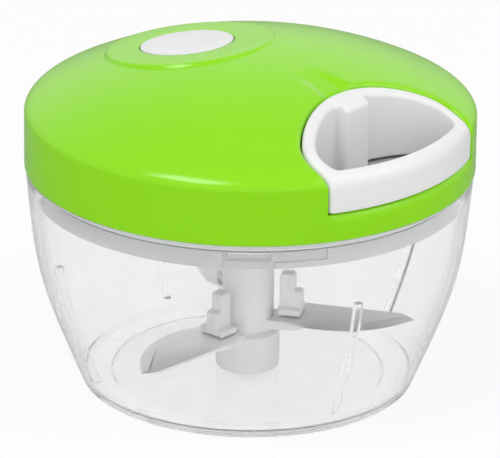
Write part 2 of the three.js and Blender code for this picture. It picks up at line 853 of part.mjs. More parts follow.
function makeHandle() {
  const top = lidApexHeight + cutOver;
  const outside = prism(halfMoon(runningGap, handleRim, handleCorner), handleBottom, top);
  const innerMoon = halfMoon(runningGap + handleWall, handleRim - handleWall, handleInnerCorner);
  const inside = prism(innerMoon, handleBottom - cutOver, top + cutOver);
  const boss = new THREE.Shape();
  boss.moveTo(handleApex + handleWall / 2, -handleBossHalfWidth);
  boss.lineTo(handleBossFace - handleBossRound, -handleBossHalfWidth);
  boss.lineTo(handleBossFace, -handleBossHalfWidth + handleBossRound);
  boss.lineTo(handleBossFace, handleBossHalfWidth - handleBossRound);
  boss.lineTo(handleBossFace - handleBossRound, handleBossHalfWidth);
  boss.lineTo(handleApex + handleWall / 2, handleBossHalfWidth);
  boss.closePath();
  const cordWay = bar(0, 0, cordHole, handleApex - cutOver, handleBossFace, smallSides);
  const cavity = bar(0, 0, knotCapRadius + seatGap, knotCavityStart, handleBossFace + cutOver, smallSides);
  const holes = cordWay.add(cavity).rotate([0, 90, 0]).translate([0, 0, cordHeight]);
  return outside
    .subtract(inside)
    .add(prism(boss, handleBottom, top, 1))
    .intersect(underLid(lidRimBottom, handleTopInset, handleTopInset))
    .subtract(holes);
}

function makeKnotCap() {
  const cap = bar(0, 0, knotCapRadius, handleBossFace - knotCapThickness, handleBossFace, smallSides);
  return cap.rotate([0, 90, 0]).translate([0, 0, cordHeight]);
}

const knotCentre = handleBossFace - knotCapThickness - seatGap - knotRadius;

function makeKnot() {
  return new THREE.SphereGeometry(knotRadius, cordSides + 2, cordSides - 2).rotateX(Math.PI / 2);
}

// Cord: turns on the drum, then a straight run to the guide and a bend into it.
class Winding extends THREE.Curve {
  getPoint(share, target = new THREE.Vector3()) {
    const angle = leaveAngle + (1 - share) * cordTurns * 2 * Math.PI;
    const height = cordHeight - (1 - share) * cordTurns * cordPitch;
    return target.set(windingRadius * Math.cos(angle), windingRadius * Math.sin(angle), height);
  }
}

function makeLead() {
  const start = new THREE.Vector3(windingRadius * Math.cos(leaveAngle), windingRadius * Math.sin(leaveAngle), cordHeight);
  const corner = new THREE.Vector3(cordCorner, 0, cordHeight);
  const along = corner.clone().sub(start).normalize();
  const first = start.clone().addScaledVector(along, seatGap);
  const bendStart = corner.clone().addScaledVector(along, -cordBend);
  const bendEnd = corner.clone().setX(cordCorner + cordBend);
  const end = corner.clone().setX(pocketApex + seatGap / 2);
  const route = new THREE.CurvePath();
  route.add(new THREE.LineCurve3(first, bendStart));
  route.add(new THREE.QuadraticBezierCurve3(bendStart, corner, bendEnd));
  route.add(new THREE.LineCurve3(bendEnd, end));
  return tube(route, cordRadius, cordSides, leadSteps);
}

function makeTail() {
  const start = handleApex + seatGap / 2;
  const end = knotCentre - knotRadius - seatGap;
  return bar(0, 0, cordRadius, start, end, cordSides).rotate([0, 90, 0]).translate([0, 0, cordHeight]);
}

// Least distance between one turn of a winding and the next, measured on points, less its thickness.
function leastGap(points, pointsPerTurn, thickness) {
  let least = Infinity;
  for (let i = 0; i + pointsPerTurn / 2 < points.length; i++) {
    for (let j = i + pointsPerTurn / 2; j < points.length; j++) {
      least = Math.min(least, points[i].distanceTo(points[j]));
    }
  }
  return least - thickness;
}

// Cord guide: a flange against the inside of the pocket wall and a neck through it.
function makeGuide() {
  const back = guideFlangeFace;
  const end = pocketApex;
  const flare = quadratic([guideThroat, back], [guideThroat, guideMouth], [guideThroat + guideFlare, guideMouth], cornerSteps);
  const profile = [
    [guideThroat, back],
    ...flare,
    [guideFlange, guideMouth],
    [guideFlange, back],
    [guideNeck, back],
    [guideNeck, end],
    [guideThroat, end],
    [guideThroat, back],
  ];
  return revolve(profile, smallSides).rotate([0, 90, 0]).translate([0, 0, cordHeight]);
}

// Chassis
const sleeveRadius = lidRimRadius - lidSkirtWall - runningGap;
const plinthTop = pocketLip - runningGap;

function makeChassis() {
  const neckHole = cupNeckRadius + runningGap;
  const sleeveInner = sleeveRadius - sleeveWall;
  const plugInner = plugRadius - plugWall;
  let chassis = revolve(
    [
      [neckHole, deckBottom - collarDepth],
      [neckHole + collarWall, deckBottom - collarDepth],
      [neckHole + collarWall, deckBottom],
      [plugInner, deckBottom],
      [plugInner, plugBottom],
      [plugRadius, plugBottom],
      [plugRadius, lidRimBottom],
      [sleeveRadius, lidRimBottom],
      [sleeveRadius, sleeveTop],
      [sleeveInner, sleeveTop],
      [sleeveInner, deckTop],
      [neckHole, deckTop],
      [neckHole, deckBottom - collarDepth],
    ],
    largeSides,
  );

  // Plinth under the handle, rooted in the deck and hollow from below
  const insideBowl = bar(0, 0, plugRadius, deckBottom, lidRimBottom, largeSides);
  const insideLid = bar(0, 0, sleeveRadius, lidRimBottom, plinthTop, largeSides);
  const outer = prism(halfMoon(plinthGap, sleeveRadius, handleCorner), deckBottom + deckThickness / 2, plinthTop);
  const inner = halfMoon(plinthGap + plinthWall, sleeveRadius, handleCorner);
  const insidePlug = bar(0, 0, plugInner - plinthWall, deckBottom - cutOver, plinthTop - plinthWall, largeSides);
  chassis = chassis.add(outer.intersect(insideBowl.add(insideLid)));
  chassis = chassis.subtract(insidePlug.intersect(prism(inner, deckBottom - cutOver, plinthTop)));

  // Seal groove, then a slot at each lug: an upright way in and a run to the side
  const grooveBottom = sealTop - sealHeight - seatGap;
  chassis = chassis.subtract(
    revolve(
      [
        [plugRadius - sealDepth, grooveBottom],
        [plugRadius + cutOver, grooveBottom],
        [plugRadius + cutOver, sealTop + seatGap],
        [plugRadius - sealDepth, sealTop + seatGap],
        [plugRadius - sealDepth, grooveBottom],
      ],
      largeSides,
    ),
  );
  const half = lugWidth / 2 + lugSlotGap;
  const slotTop = lugCentre + lugHeight / 2 + lugSlotGap / 2;
  const slotBottom = lugCentre - lugHeight / 2 - lugSlotGap;
  const belt = revolve(
    [
      [plugRadius - lugSlotDepth, plugBottom - cutOver],
      [plugRadius + cutOver, plugBottom - cutOver],
      [plugRadius + cutOver, slotTop],
      [plugRadius - lugSlotDepth, slotTop],
      [plugRadius - lugSlotDepth, plugBottom - cutOver],
    ],
    largeSides,
  );
  const wayIn = block([plugInner, -half, plugBottom - cutOver], [bowlRimRadius, half, slotTop]);
  const run = block([plugInner, -half, slotBottom], [bowlRimRadius, half, slotTop]);
  for (let i = 0; i < lugCount; i++) {
    const angle = lugAngle + (i * 360) / lugCount;
    const cut = turned(wayIn, angle).add(turned(run, angle + lugSlotRun / 2)).add(turned(run, angle + lugSlotRun));
    chassis = chassis.subtract(cut.intersect(belt));
  }

  // Ribs under the deck
  const rib = block(
    [neckHole + collarWall / 2, -deckRibWidth / 2, deckBottom - deckRibDepth],
    [plugInner + plugWall / 2 - lugSlotDepth, deckRibWidth / 2, deckBottom + deckThickness / 2],
  );
  for (let i = 0; i < deckRibCount; i++) {
    chassis = chassis.add(turned(rib, deckRibFirstAngle + i * deckRibStep));
  }

  // Posts for the bridge and holes for the lid screws
  postAngles.forEach((angle) => {
    const [x, y] = polar(postCircle, angle);
    const postTop = bridgeBottom - seatGap;
    chassis = chassis.add(bar(x, y, postRadius, deckBottom + deckThickness / 2, postTop, smallSides));
    const holeBottom = bridgeTop - bridgeScrewLength - seatGap;
    chassis = chassis.subtract(bar(x, y, screwRadius + screwGap, holeBottom, postTop + cutOver, smallSides));
  });
  lidBossAngles.forEach((angle) => {
    const [x, y] = polar(lidBossCircle, angle);
    chassis = chassis.subtract(bar(x, y, screwRadius + screwGap, deckBottom - cutOver, deckTop + cutOver, smallSides));
  });
  return chassis;
}

function makeSeal() {
  const inner = plugRadius - sealDepth + seatGap;
  const outer = plugRadius + sealProud;
  const bottom = sealTop - sealHeight;
  const middle = (bottom + sealTop) / 2;
  return revolve(
    [
      [inner, bottom],
      [plugRadius, bottom],
      [outer, middle],
      [plugRadius, sealTop],
      [inner, sealTop],
      [inner, bottom],
    ],
    largeSides,
  );
}

// A screw whose head's underside is at zero and whose shank runs up, with a driver slot below the head.
function makeScrew(length) {
  const screw = revolve(
    [
      [0, -screwHeadThickness],
      [screwHeadRadius - screwSlotDepth, -screwHeadThickness],
      [screwHeadRadius, -screwHeadThickness + screwSlotDepth],
      [screwHeadRadius, 0],
      [screwRadius, 0],
      [screwRadius, length - screwRadius],
      [0, length],
    ],
    screwSides,
  );
  const slot = block(
    [-screwHeadRadius - cutOver, -screwSlotWidth / 2, -screwHeadThickness - cutOver],
    [screwHeadRadius + cutOver, screwSlotWidth / 2, -screwHeadThickness + screwSlotDepth],
  );
  return screw.subtract(slot);
}

// Drive cup: a toothed rim above the deck and a socket that hangs through it.
function makeDriveCup() {
  const socketRadius = hexRadius + runningGap;
  const rimInner = cupRimRadius - cupRimWall;
  const body = revolve(
    [
      [0, cupBottom],
      [socketRadius + cupSocketWall, cupBottom],
      [cupNeckRadius - seatGap, cupConeTop],
      [cupNeckRadius, cupConeTop + seatGap],
      [cupNeckRadius, cupFloor],
      [cupRimRadius, cupFloor],
      [cupRimRadius, cupRimTop],
      [rimInner, cupRimTop],
      [rimInner, cupFloorTop],
      [cupHubRadius, cupFloorTop],
      [cupHubRadius, cupHubTop],
      [axleBore, cupHubTop],
      [axleBore, axleBottom - seatGap],
      [0, axleBottom - seatGap],
    ],
    mediumSides,
  );
  const ring = new THREE.Shape();
  ring.absarc(0, 0, (rimInner + cupRimRadius) / 2, 0, 2 * Math.PI, false);
  const teeth = [];
  for (let i = 0; i < toothCount; i++) {
    teeth.push(polar(toothRoot, (i * 360) / toothCount));
    teeth.push(polar(toothCrest, ((i + 1) * 360) / toothCount));
  }
  ring.holes.push(new THREE.Path(teeth.map(([x, y]) => new THREE.Vector2(x, y))));
  const toothed = prism(ring, cupFloorTop - cupFlangeThickness / 2, cupRimTop, mediumSides / 2);
  const socket = bar(0, 0, socketRadius, cupBottom - cutOver, socketTop, 6);
  return body.add(toothed).subtract(socket);
}

// Pawl: an eye on the reel's pin and a beak that lies in a tooth gap, clear of the tooth's face.
function makePawl(angle) {
  const toothPitch = 360 / toothCount;
  const faceAngle = Math.floor((angle - pawlReachAngle) / toothPitch) * toothPitch;
  const tipAngle = faceAngle + pawlFaceGapAngle;
  const eye = polar(pawlCircle, angle);
  const shape = new THREE.Shape();
  const [backFrom, backTo] = pawlBackAngles.map((turn) => radians(angle + turn));
  shape.absarc(...eye, pawlEyeRadius, backFrom, backTo, false);
  shape.lineTo(...polar(pawlTipRadius - pawlTipDepth, tipAngle));
  shape.lineTo(...polar(pawlTipRadius, tipAngle));
  shape.closePath();
  const hole = bar(...eye, pawlPinRadius + seatGap, pawlBottom - cutOver, pawlTop + cutOver, smallSides);
  return prism(shape, pawlBottom, pawlTop, pawlSteps).subtract(hole);
}

// Reel: a drum between two flanges, a cup for the spring inside it and pins for the pawls below.
function makeReel() {
  let reel = revolve(
    [
      [axleBore, reelBottom],
      [reelFlangeRadius, reelBottom],
      [reelFlangeRadius, reelBottom + reelFlangeEdge],
      [reelDrumRadius, reelFloorTop],
      [reelDrumRadius, reelDrumTop],
      [reelFlangeRadius, reelTop - reelFlangeEdge],
      [reelFlangeRadius, reelTop],
      [reelCupRadius, reelTop],
      [reelCupRadius, reelFloorTop],
      [reelHubRadius, reelFloorTop],
      [reelHubRadius, reelHubTop],
      [axleBore, reelHubTop],
      [axleBore, reelBottom],
    ],
    mediumSides,
  );
  pawlAngles.forEach((angle) => {
    const [x, y] = polar(pawlCircle, angle);
    reel = reel.add(bar(x, y, pawlPinRadius, pawlBottom, reelFloorTop - reelFloor / 2, smallSides));
  });
  for (let i = 0; i < reelWindowCount; i++) {
    const [x, y] = polar((reelDrumRadius + reelFlangeRadius) / 2, ((i + 0.5) * 360) / reelWindowCount);
    const window = bar(x, y, reelWindowRadius, reelDrumTop - cutOver / 4, reelTop + cutOver, cordSides);
    reel = reel.subtract(window);
  }
  return reel;
}

function makeWasher() {
  const bottom = cupHubTop + seatGap;
  const top = reelBottom - seatGap;
  const profile = [
    [axleBore, bottom],
    [washerRadius, bottom],
    [washerRadius, top],
    [axleBore, top],
    [axleBore, bottom],
  ];
  return revolve(profile, smallSides);
}

function makeAxle() {
  return revolve(
    [
      [0, axleBottom],
      [axleRadius, axleBottom],
      [axleRadius, bridgeTop + seatGap],
      [axleHeadRadius, bridgeTop + seatGap],
      [axleHeadRadius, bridgeTop + seatGap + axleHeadThickness],
      [0, bridgeTop + seatGap + axleHeadThickness],
    ],
    smallSides,
  );
}

// Bridge: a disc with three arms to the posts, and the arbor that holds the spring's inner end.
function makeBridge() {
  let plate = bar(0, 0, bridgeDiscRadius, bridgeBottom, bridgeTop, mediumSides);
  postAngles.forEach((angle) => {
    const arm = block([0, -bridgeArmHalfWidth, bridgeBottom], [postCircle, bridgeArmHalfWidth, bridgeTop]);
    const end = bar(postCircle, 0, bridgeArmHalfWidth, bridgeBottom, bridgeTop, smallSides);
    plate = plate.add(turned(arm.add(end), angle));
  });
  plate = plate.add(bar(0, 0, arborRadius, arborBottom, bridgeTop - bridgeThickness / 2, smallSides));
  postAngles.forEach((angle) => {
    const [x, y] = polar(postCircle, angle);
    plate = plate.subtract(bar(x, y, screwRadius + screwGap, bridgeBottom - cutOver, bridgeTop + cutOver, smallSides));
  });
  const slot = block([0, -arborSlotWidth / 2, arborBottom - cutOver], [arborRadius + cutOver, arborSlotWidth / 2, bridgeBottom]);
  return plate.subtract(bar(0, 0, axleBore, arborBottom - cutOver, bridgeTop + cutOver, smallSides)).subtract(slot);
}

// Return spring: a flat strip wound in a spiral, its inner end turned in to the arbor's slot.
const springPoints = [];

function makeSpring() {
  springPoints.push(new THREE.Vector2(springInnerRadius - springTab, 0));
  const steps = springTurns * springStepsPerTurn;
  for (let i = 0; i <= steps; i++) {
    const angle = (2 * Math.PI * i) / springStepsPerTurn;
    const radius = springInnerRadius + ((springOuterRadius - springInnerRadius) * i) / steps;
    springPoints.push(new THREE.Vector2(radius * Math.cos(angle), radius * Math.sin(angle)));
  }
  const sides = [1, -1].map((side) =>
    springPoints.map((point, i) => {
      const before = springPoints[Math.max(i - 1, 0)];
      const after = springPoints[Math.min(i + 1, springPoints.length - 1)];
      const along = after.clone().sub(before).normalize();
      const out = new THREE.Vector2(along.y, -along.x);
      return point.clone().addScaledVector(out, (side * springThickness) / 2);
    }),
  );
  const outline = new THREE.Shape([...sides[0], ...sides[1].reverse()]);
  return prism(outline, springBottom, springBottom + springHeight, 1);
}

// Bowl and rotor
addNode("bowl", makeBowl(), clear);
addNode("pivot_pin", makePin(), steel);
const rotor = new THREE.Group();
chopper.add(rotor);
addNode("blade_column", makeColumn(), white, rotor);
addNode("column_bush", makeBush(), nylon, rotor);
["middle", "upper", "lower"].forEach((place, i) => {
  const arm = new THREE.Group();
  arm.rotation.z = radians(bladeAngles[i]);
  rotor.add(arm);
  addNode("blade_" + place, makeBlade(bladeLevels[i]), steel, arm);
  addNode("blade_clamp_" + place, makeClamp(bladeLevels[i]), white, arm);
});

// Lid
const lid = new THREE.Group();
chopper.add(lid);
addNode("lid_cover", makeLidCover(), green, lid);
addNode("lid_disc", makeDisc(), white, lid);
addNode("chassis", makeChassis(), white, lid);
addNode("seal_ring", makeSeal(), silicone, lid);
addNode("cord_guide", makeGuide(), steel, lid);
addNode("cord_lead", makeLead(), cordWhite, lid);
addNode("reel_bridge", makeBridge(), white, lid);
addNode("reel_axle", makeAxle(), steel, lid);
addNode("thrust_washer", makeWasher(), nylon, lid);
addNode("return_spring", makeSpring(), steel, lid);
lidBossAngles.forEach((angle, i) => {
  const screw = addNode("lid_screw_" + (i + 1), makeScrew(lidScrewLength), steel, lid);
  screw.position.set(...polar(lidBossCircle, angle), deckBottom - seatGap);
});
postAngles.forEach((angle, i) => {
  const screw = addNode("bridge_screw_" + (i + 1), makeScrew(bridgeScrewLength), steel, lid);
  screw.position.set(...polar(postCircle, angle), bridgeTop + seatGap);
  screw.rotation.x = Math.PI;
});

// Reel, pawls, drive cup and handle
addNode("cord_reel", makeReel(), white, lid);
const winding = new Winding();
const windingSteps = cordTurns * stepsPerTurn;
addNode("cord_winding", tube(winding, cordRadius, windingSides, windingSteps), cordWhite, lid);
pawlAngles.forEach((angle, i) => {
  addNode("pawl_" + (i + 1), makePawl(angle), nylon, lid);
});
addNode("drive_cup", makeDriveCup(), nylon, lid);
addNode("pull_handle", makeHandle(), white, lid);
addNode("knot_cap", makeKnotCap(), white, lid);
addNode("cord_tail", makeTail(), cordWhite, lid);
const knot = addNode("cord_knot", makeKnot(), cordWhite, lid);
knot.position.set(knotCentre, 0, cordHeight);

console.log("cord on drum, least gap to itself", leastGap(winding.getPoints(windingSteps), stepsPerTurn, 2 * cordRadius).toFixed(2));
console.log("return spring, least gap to itself", leastGap(springPoints, springStepsPerTurn, springThickness).toFixed(2));
console.log("cord on drum, length", winding.getLength().toFixed(1));

export default chopper;
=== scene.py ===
"""Pull-cord vegetable chopper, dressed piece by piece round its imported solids.

Lengths in this file are in millimetres and angles in degrees. A finished mesh is scaled to metres.
Z is up, the rotor turns about the Z axis and the pull handle faces +X.
A profile lists (radius, height) points. A third number in a point rounds that corner.
"""

import json
from math import acos, asin, atan2, copysign, cos, degrees, hypot, pi, radians, sin, sqrt, tan

import bmesh
import bpy
from bmesh import ops
from bmesh.types import BMEdge, BMVert
from mathutils import Matrix, Vector


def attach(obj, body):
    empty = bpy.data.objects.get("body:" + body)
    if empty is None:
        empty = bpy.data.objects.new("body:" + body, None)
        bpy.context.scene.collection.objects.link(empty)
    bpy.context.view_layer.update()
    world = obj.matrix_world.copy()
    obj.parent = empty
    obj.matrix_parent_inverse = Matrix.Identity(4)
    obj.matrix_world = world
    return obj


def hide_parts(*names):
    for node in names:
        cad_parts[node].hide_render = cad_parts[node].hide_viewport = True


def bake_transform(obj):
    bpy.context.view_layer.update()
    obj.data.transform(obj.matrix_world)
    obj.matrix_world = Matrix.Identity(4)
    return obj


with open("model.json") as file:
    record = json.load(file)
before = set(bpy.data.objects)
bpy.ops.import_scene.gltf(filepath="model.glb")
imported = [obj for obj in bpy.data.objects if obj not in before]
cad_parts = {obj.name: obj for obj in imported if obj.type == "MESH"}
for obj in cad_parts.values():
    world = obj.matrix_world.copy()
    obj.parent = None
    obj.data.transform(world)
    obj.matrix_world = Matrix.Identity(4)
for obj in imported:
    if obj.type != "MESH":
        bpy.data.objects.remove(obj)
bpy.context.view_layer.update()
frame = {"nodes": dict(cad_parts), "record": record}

METRES = 0.001
UP = Vector((0, 0, 1))
SAME_PLACE = 1e-4
CUT, JOIN, KEEP = "DIFFERENCE", "UNION", "INTERSECT"
OVERLAP = 0.02

# Bowl
BOWL_HEIGHT = 63.2
BOWL_WALL = 2.0
BOWL_FLOOR = 2.6
BOWL_FOOT = 44.5
BOWL_UNDERSIDE = [(0, 0.6), (38, 0.6, 0.3), (38.6, 0, 0.3), (BOWL_FOOT, 0)]
BOWL_FOOT_CORNER = (46.58, 0, 2.4)
BOWL_CURVE = [(47.6, 2.5), (59.52, 31.636), (59.818, 32.85), (62.5, 63.2)]
CURVE_STEPS = 44
BOWL_RIM = [(62.5, BOWL_HEIGHT, 0.5), (60.5, BOWL_HEIGHT, 0.5), (60.45, 61.5)]
BOWL_CORNER = 3
BOWL_BOSS = [(8, BOWL_FLOOR), (6, BOWL_FLOOR, 1), (5.2, 8, 0.4), (2.3, 8, 0.3), (2.3, 3.4), (0, 3.4)]
BOWL_SEGMENTS = 180
RIB_ANGLES = [-17, 73, 163, 249]
RIB_TOP = 42.2
RIB_BOTTOM = 5.7
RIB_DEPTH = 1.8
RIB_HALF_ANGLE = 1.0
LUG_ANGLES = [-48, 42, 132, 222]
LUG_CENTRE = 59.2
LUG_HALF_HEIGHT = 1.0
LUG_HALF_ANGLE = 6
LUG_REACH = 1.4
LUG_TAPER = 1.0
INNER_ROW = 2.03
INNER_ROWS = [(56.4, 7), (RIB_TOP, 19)]

# Lid
RIM_RADIUS = 62.8
RIM_BOTTOM = 63.3
SKIRT_FOOT = 66
SKIRT_TOP = 78.8
SKIRT_WALL = 2.0
SHOULDER_CONTROL = 80.903
SHOULDER_STEPS = 14
DOME_EDGE = 58.5
DOME_EDGE_HEIGHT = 83.1
DOME_RISE = 13.463
APEX = DOME_EDGE_HEIGHT + DOME_RISE
DOME_QUARTIC = 0.11
DOME_WALL = 2.2
DOME_STEPS = 90
DOME_INNER_RADII = (0, 8, 16, 24, 32, 38, 44, 50, 54, 56)
LID_SKIN = 1.1
GROOVE_START = 19.3
GROOVE_END = 33.3
GROOVE_DEPTH = 1.4
GROOVE_HALF_WIDTH = 5.4
GROOVE_FLARE = 2.0
GROOVE_SIDE = 3.4
LID_BOSS_CIRCLE = 50.0
LID_BOSS_ANGLES = [58, 130, -130, -58]
LID_BOSS_BOTTOM = 63.0
LID_BOSS_RADIUS = 3.6
PILOT_RADIUS = 1.6
FAR_UP = 200

# Platform and disc on the lid
DISC_CENTRE = Vector((-22.8, -1.6, 93.342))
DISC_RADIUS = 13.1
DISC_PROFILE = [(0, -0.7), (DISC_RADIUS, -0.7, 0.1), (DISC_RADIUS, 0.2, 0.35), (6, 0.3), (0, 0.3)]
DISC_SEAT = [(0, -1.0), (DISC_RADIUS + 0.3, -1.0, 0.2), (DISC_RADIUS + 0.3, 0, 0.35)]
PLATFORM_OFFSET = 1.1
PLATFORM_RADIUS = 23.0
PLATFORM_SIDE = 1.2
PLATFORM_ROWS = 10
PLATFORM_BOTTOM = -1.5
PLATFORM_TILT = 9
PLATFORM_HOLE = (22.0, -1.3, 6)

# Handle and its pocket. Counts are points along rim, corner, side, shoulder and the scoop's two stretches.
POCKET_CENTRE = 69.8
POCKET_RADIUS = 38.4
POCKET_HALF_WIDTH = 29.3
POCKET_SHOULDER = 12.0
POCKET_LIP = 71.0
POCKET_ROUND = 1.7
ROUND_SWEEP = 80
POCKET_CORNER = 1.4
POCKET_WALL = 1.6
POCKET_WALL_BOTTOM = 69.4
POCKET_COUNTS = (10, 2, 44, 26, (34, 12))
LIP_WIDTH = 1.8
LIP_HEIGHT = 2.6
LIP_FADE = 2.0
HANDLE_GAP = 0.4
HANDLE_RIM = 62.6
HANDLE_CORNER = 1.2
HANDLE_INNER_CORNER = 4.0
HANDLE_WALL = 3.8
HANDLE_BOTTOM = 71.3
HANDLE_SUNK = 0.2
HANDLE_TOP_ROUND = 1.5
HANDLE_BOTTOM_ROUND = 0.8
HANDLE_BOSS_FACE = 39.6
HANDLE_BOSS_HALF = 5.0
HANDLE_BOSS_FLARE = 1.6
HANDLE_COUNTS = (30, 8, 14, 24, (26, 16))
HANDLE_SHARES = [0, 0.012, 0.045, 0.1, 0.17, 0.26, 0.37]
KNOT_CAP = [(0, -1.0), (2.55, -1.0, 0.1), (2.57, -0.02, 0.05), (2.0, 0), (0, 0)]

# Cord
CORD_HEIGHT = 81.5
CORD_RADIUS = 0.8
CORD_TURNS = 4
CORD_PITCH = 2.05
WINDING_RADIUS = 20.8
CORD_CORNER = 28.8
CORD_BEND = 1.5
LEAVE_ANGLE = degrees(acos(WINDING_RADIUS / CORD_CORNER))
LEAD_END = 31.45
KNOT_CENTRE = 36.5
KNOT_SIZE = 0.36
KNOT_DEPTH = 0.75
KNOT_CORD_RADIUS = 0.62

# Rotor
BLADE_LEVELS = {"middle": 18.5, "upper": 22.2, "lower": 14.9}
BLADE_ANGLES = {"middle": 31, "upper": 151, "lower": 271}
# Steel tone of each blade. The middle blade keeps the steel's own tone; the upper and lower blades are
# painted lighter, as painted reflection of the light they catch.
BLADE_TONES_WITH_PAINTED_REFLECTION = {"middle": 0.56, "upper": 0.84, "lower": 0.86}
BLADE_BACK = [(8.0, -4.4), (8.0, 4.4), (15.5, 7.6), (43.0, 5.8)]
BLADE_BELLY = [(47.0, 3.0), (35.015, -12.4), (18.0, -9.4)]
BLADE_THICKNESS = 1
BLADE_GROUND = 2.2
BLADE_EDGE = 0.4
BLADE_CHAMFER = 0.12
COLUMN = [
    (0, 17.5), (4.5, 17.5, 0.3), (4.5, 13.6, 0.3), (6.9, 13.6, 0.8), (6.9, 3.2, 0.3), (9.0, 3.2, 0.5),
    (9.0, 13.6, 0.8), (7.25, 14.6, 0.8), (7.25, 50.2, 0.8), (0, 50.2),
]
HEXAGON_RADIUS = 5.2
HEXAGON_HEIGHTS = (49.0, 59.6)
ROTOR_EDGE = 0.45
ARM_START = 5.5
ARM_HALF = 4.6
ARM_THICKNESS = 2.8
ARM_BEYOND_CLAMP = 0.7
ARM_BELOW_BLADE = 0.3
CLAMP_START = 9.3
CLAMP_END = 15.7
CLAMP_HALF = 4.2
CLAMP_THICKNESS = 1.8
CLAMP_ABOVE_BLADE = 1.3
CLAMP_FIN_HALF = 1.9
CLAMP_FIN = [
    (CLAMP_START, 0.6), (CLAMP_END, 0.6), (CLAMP_END, 6.8, 1.0), (13.5, 6.8, 0.6), (13.5, 11.8, 1.2),
    (CLAMP_START, 11.8, 1.2),
]
CLAMP_PIN = 12.2
CLAMP_PIN_RADIUS = 1.5
CLAMP_PIN_LENGTH = 3.3
CLAMP_HOLE_RADIUS = 1.8
PIVOT_PIN = [(0, 3.7), (2, 3.7), (2, 15.8, 0.7), (0, 15.8)]
BUSH = [
    (2.3, 9.2), (5.2, 9.2, 0.3), (5.2, 10.2, 0.25), (4.2, 10.2), (4.2, 17.2, 0.3), (0, 17.2), (0, 16.1),
    (2.3, 16.1),
]

# Chassis and what it carries
CHASSIS = [
    (12.6, 57.6, 0.3), (14.6, 57.6, 0.3), (14.6, 60.6, 0.5), (56.6, 60.6, 0.8), (56.6, 55.6, 0.4),
    (59.4, 55.6, 0.6), (59.4, 60.6, 0.1), (58.2, 60.6, 0.1), (58.2, 62.7, 0.1), (59.4, 62.7, 0.1),
    (59.4, 63.5, 0.1), (60.4, 63.5, 0.3), (60.4, 69.0, 0.4), (58.4, 69.0, 0.4), (58.4, 62.6, 0.6),
    (12.6, 62.6, 0.3),
]
IN_DECK = 61.6
PLINTH_COUNTS = (16, 4, 8, 12, (20, 6))
PLINTH_INSET, PLINTH_RIM, PLINTH_TOP = 0.5, 60.15, 70.6
PLINTH_KEPT = [(0, 61.7), (59.0, 61.7), (59.0, 63.9), (60.6, 63.9), (60.6, 72), (0, 72)]
HOLLOW_INSET, HOLLOW_RIM, HOLLOW_TOP = 2.3, 60.4, 68.8
HOLLOW_RADIUS = 54.8
BELOW_DECK = 58
SLOT_RADII = (58.75, 62)
SLOT_TOP = 60.55
SLOTS = [(-6.8, 13.6, 53.0), (-6.8, 27.6, 57.5)]
DECK_RIB = (13.6, 57.9, -0.8, 0.8)
DECK_RIB_ANGLES = [67.5 + 45 * k for k in range(6)]
POST_ANGLES = [75, 180, -75]
POST_CIRCLE = 30.5
POST = [(0, IN_DECK), (3.8, IN_DECK), (3.8, 84.6, 0.4), (0, 84.6)]
POST_HOLE_BOTTOM = 78.7
SEAL = [(58.5, 60.9, 0.2), (59.4, 60.9, 0.2), (59.9, 61.65, 0.5), (59.4, 62.4, 0.2), (58.5, 62.4, 0.2)]
EYELET = [
    (1.2, 29.5), (1.2, 28.9, 0.3), (2.4, 28.2, 0.8), (4.6, 28.2, 0.4), (4.6, 29.5, 0.3), (2.9, 29.5),
    (2.9, 31.4, 0.2), (1.2, 31.4, 0.4),
]
SCREW_CORE = 1.05
SCREW_THREAD = 1.3
SCREW_PITCH = 0.9
SCREW_HEAD = [(0, -1.6), (2.0, -1.6, 0.4), (2.9, -0.8, 0.5), (2.9, 0, 0.2), (SCREW_CORE, 0)]
LID_SCREW = (10, 60.3)
BRIDGE_SCREW = (8, 87.3)
SPRING_BOTTOM = 73.2
SPRING_TOP = 81.6
SPRING_INNER, SPRING_OUTER = 5.1, 17.3
SPRING_TURNS = 6
SPRING_HALF_STRIP = 0.2


# Shapes

def quadratic(start, pull, end, t):
    return start * (1 - t) ** 2 + pull * 2 * t * (1 - t) + end * t * t


def bezier(points, t):
    a, b, c, d = (Vector(p) for p in points)
    return a * (1 - t) ** 3 + b * 3 * t * (1 - t) ** 2 + c * 3 * t * t * (1 - t) + d * t ** 3


def round_drop(distance, radius):
    """How far a rounded edge lies below its flat at a distance from the side."""
    if distance >= radius:
        return 0.0
    return radius - sqrt(radius ** 2 - (radius - distance) ** 2)


def angle_from(point, centre):
    """The angle from a direction to a point seen from above, within half a turn either way."""
    angle = degrees(atan2(point.y, point.x)) - centre
    return (angle + 180) % 360 - 180


def rectangle(left, right, low, high):
    return [(left, low), (right, low), (right, high), (left, high)]


def soft_path(points, closed=False, steps=4):
    """A path of (a, b) points, where a third number rounds that corner."""
    path = []
    for i, point in enumerate(points):
        here = Vector(point[:2])
        inner = closed or 0 < i < len(points) - 1
        if len(point) < 3 or not inner:
            path.append(tuple(here))
            continue
        before = Vector(points[i - 1][:2]) - here
        after = Vector(points[(i + 1) % len(points)][:2]) - here
        reach = point[2] / tan(before.angle(after) / 2)
        reach = min(reach, before.length / 2, after.length / 2)
        first = here + before.normalized() * reach
        last = here + after.normalized() * reach
        path += [tuple(quadratic(first, here, last, k / steps)) for k in range(steps + 1)]
    return path


def arc(centre, radius, start, end, steps):
    """Points on an arc, both ends included."""
    angles = [radians(start + (end - start) * k / steps) for k in range(steps + 1)]
    return [(centre[0] + radius * cos(a), centre[1] + radius * sin(a)) for a in angles]


def closed_up(bm, near=None):
    """The shape with its faces turned outwards, after points nearer than a distance are merged."""
    if near:
        ops.remove_doubles(bm, verts=bm.verts, dist=near)
    ops.recalc_face_normals(bm, faces=bm.faces)
    return bm


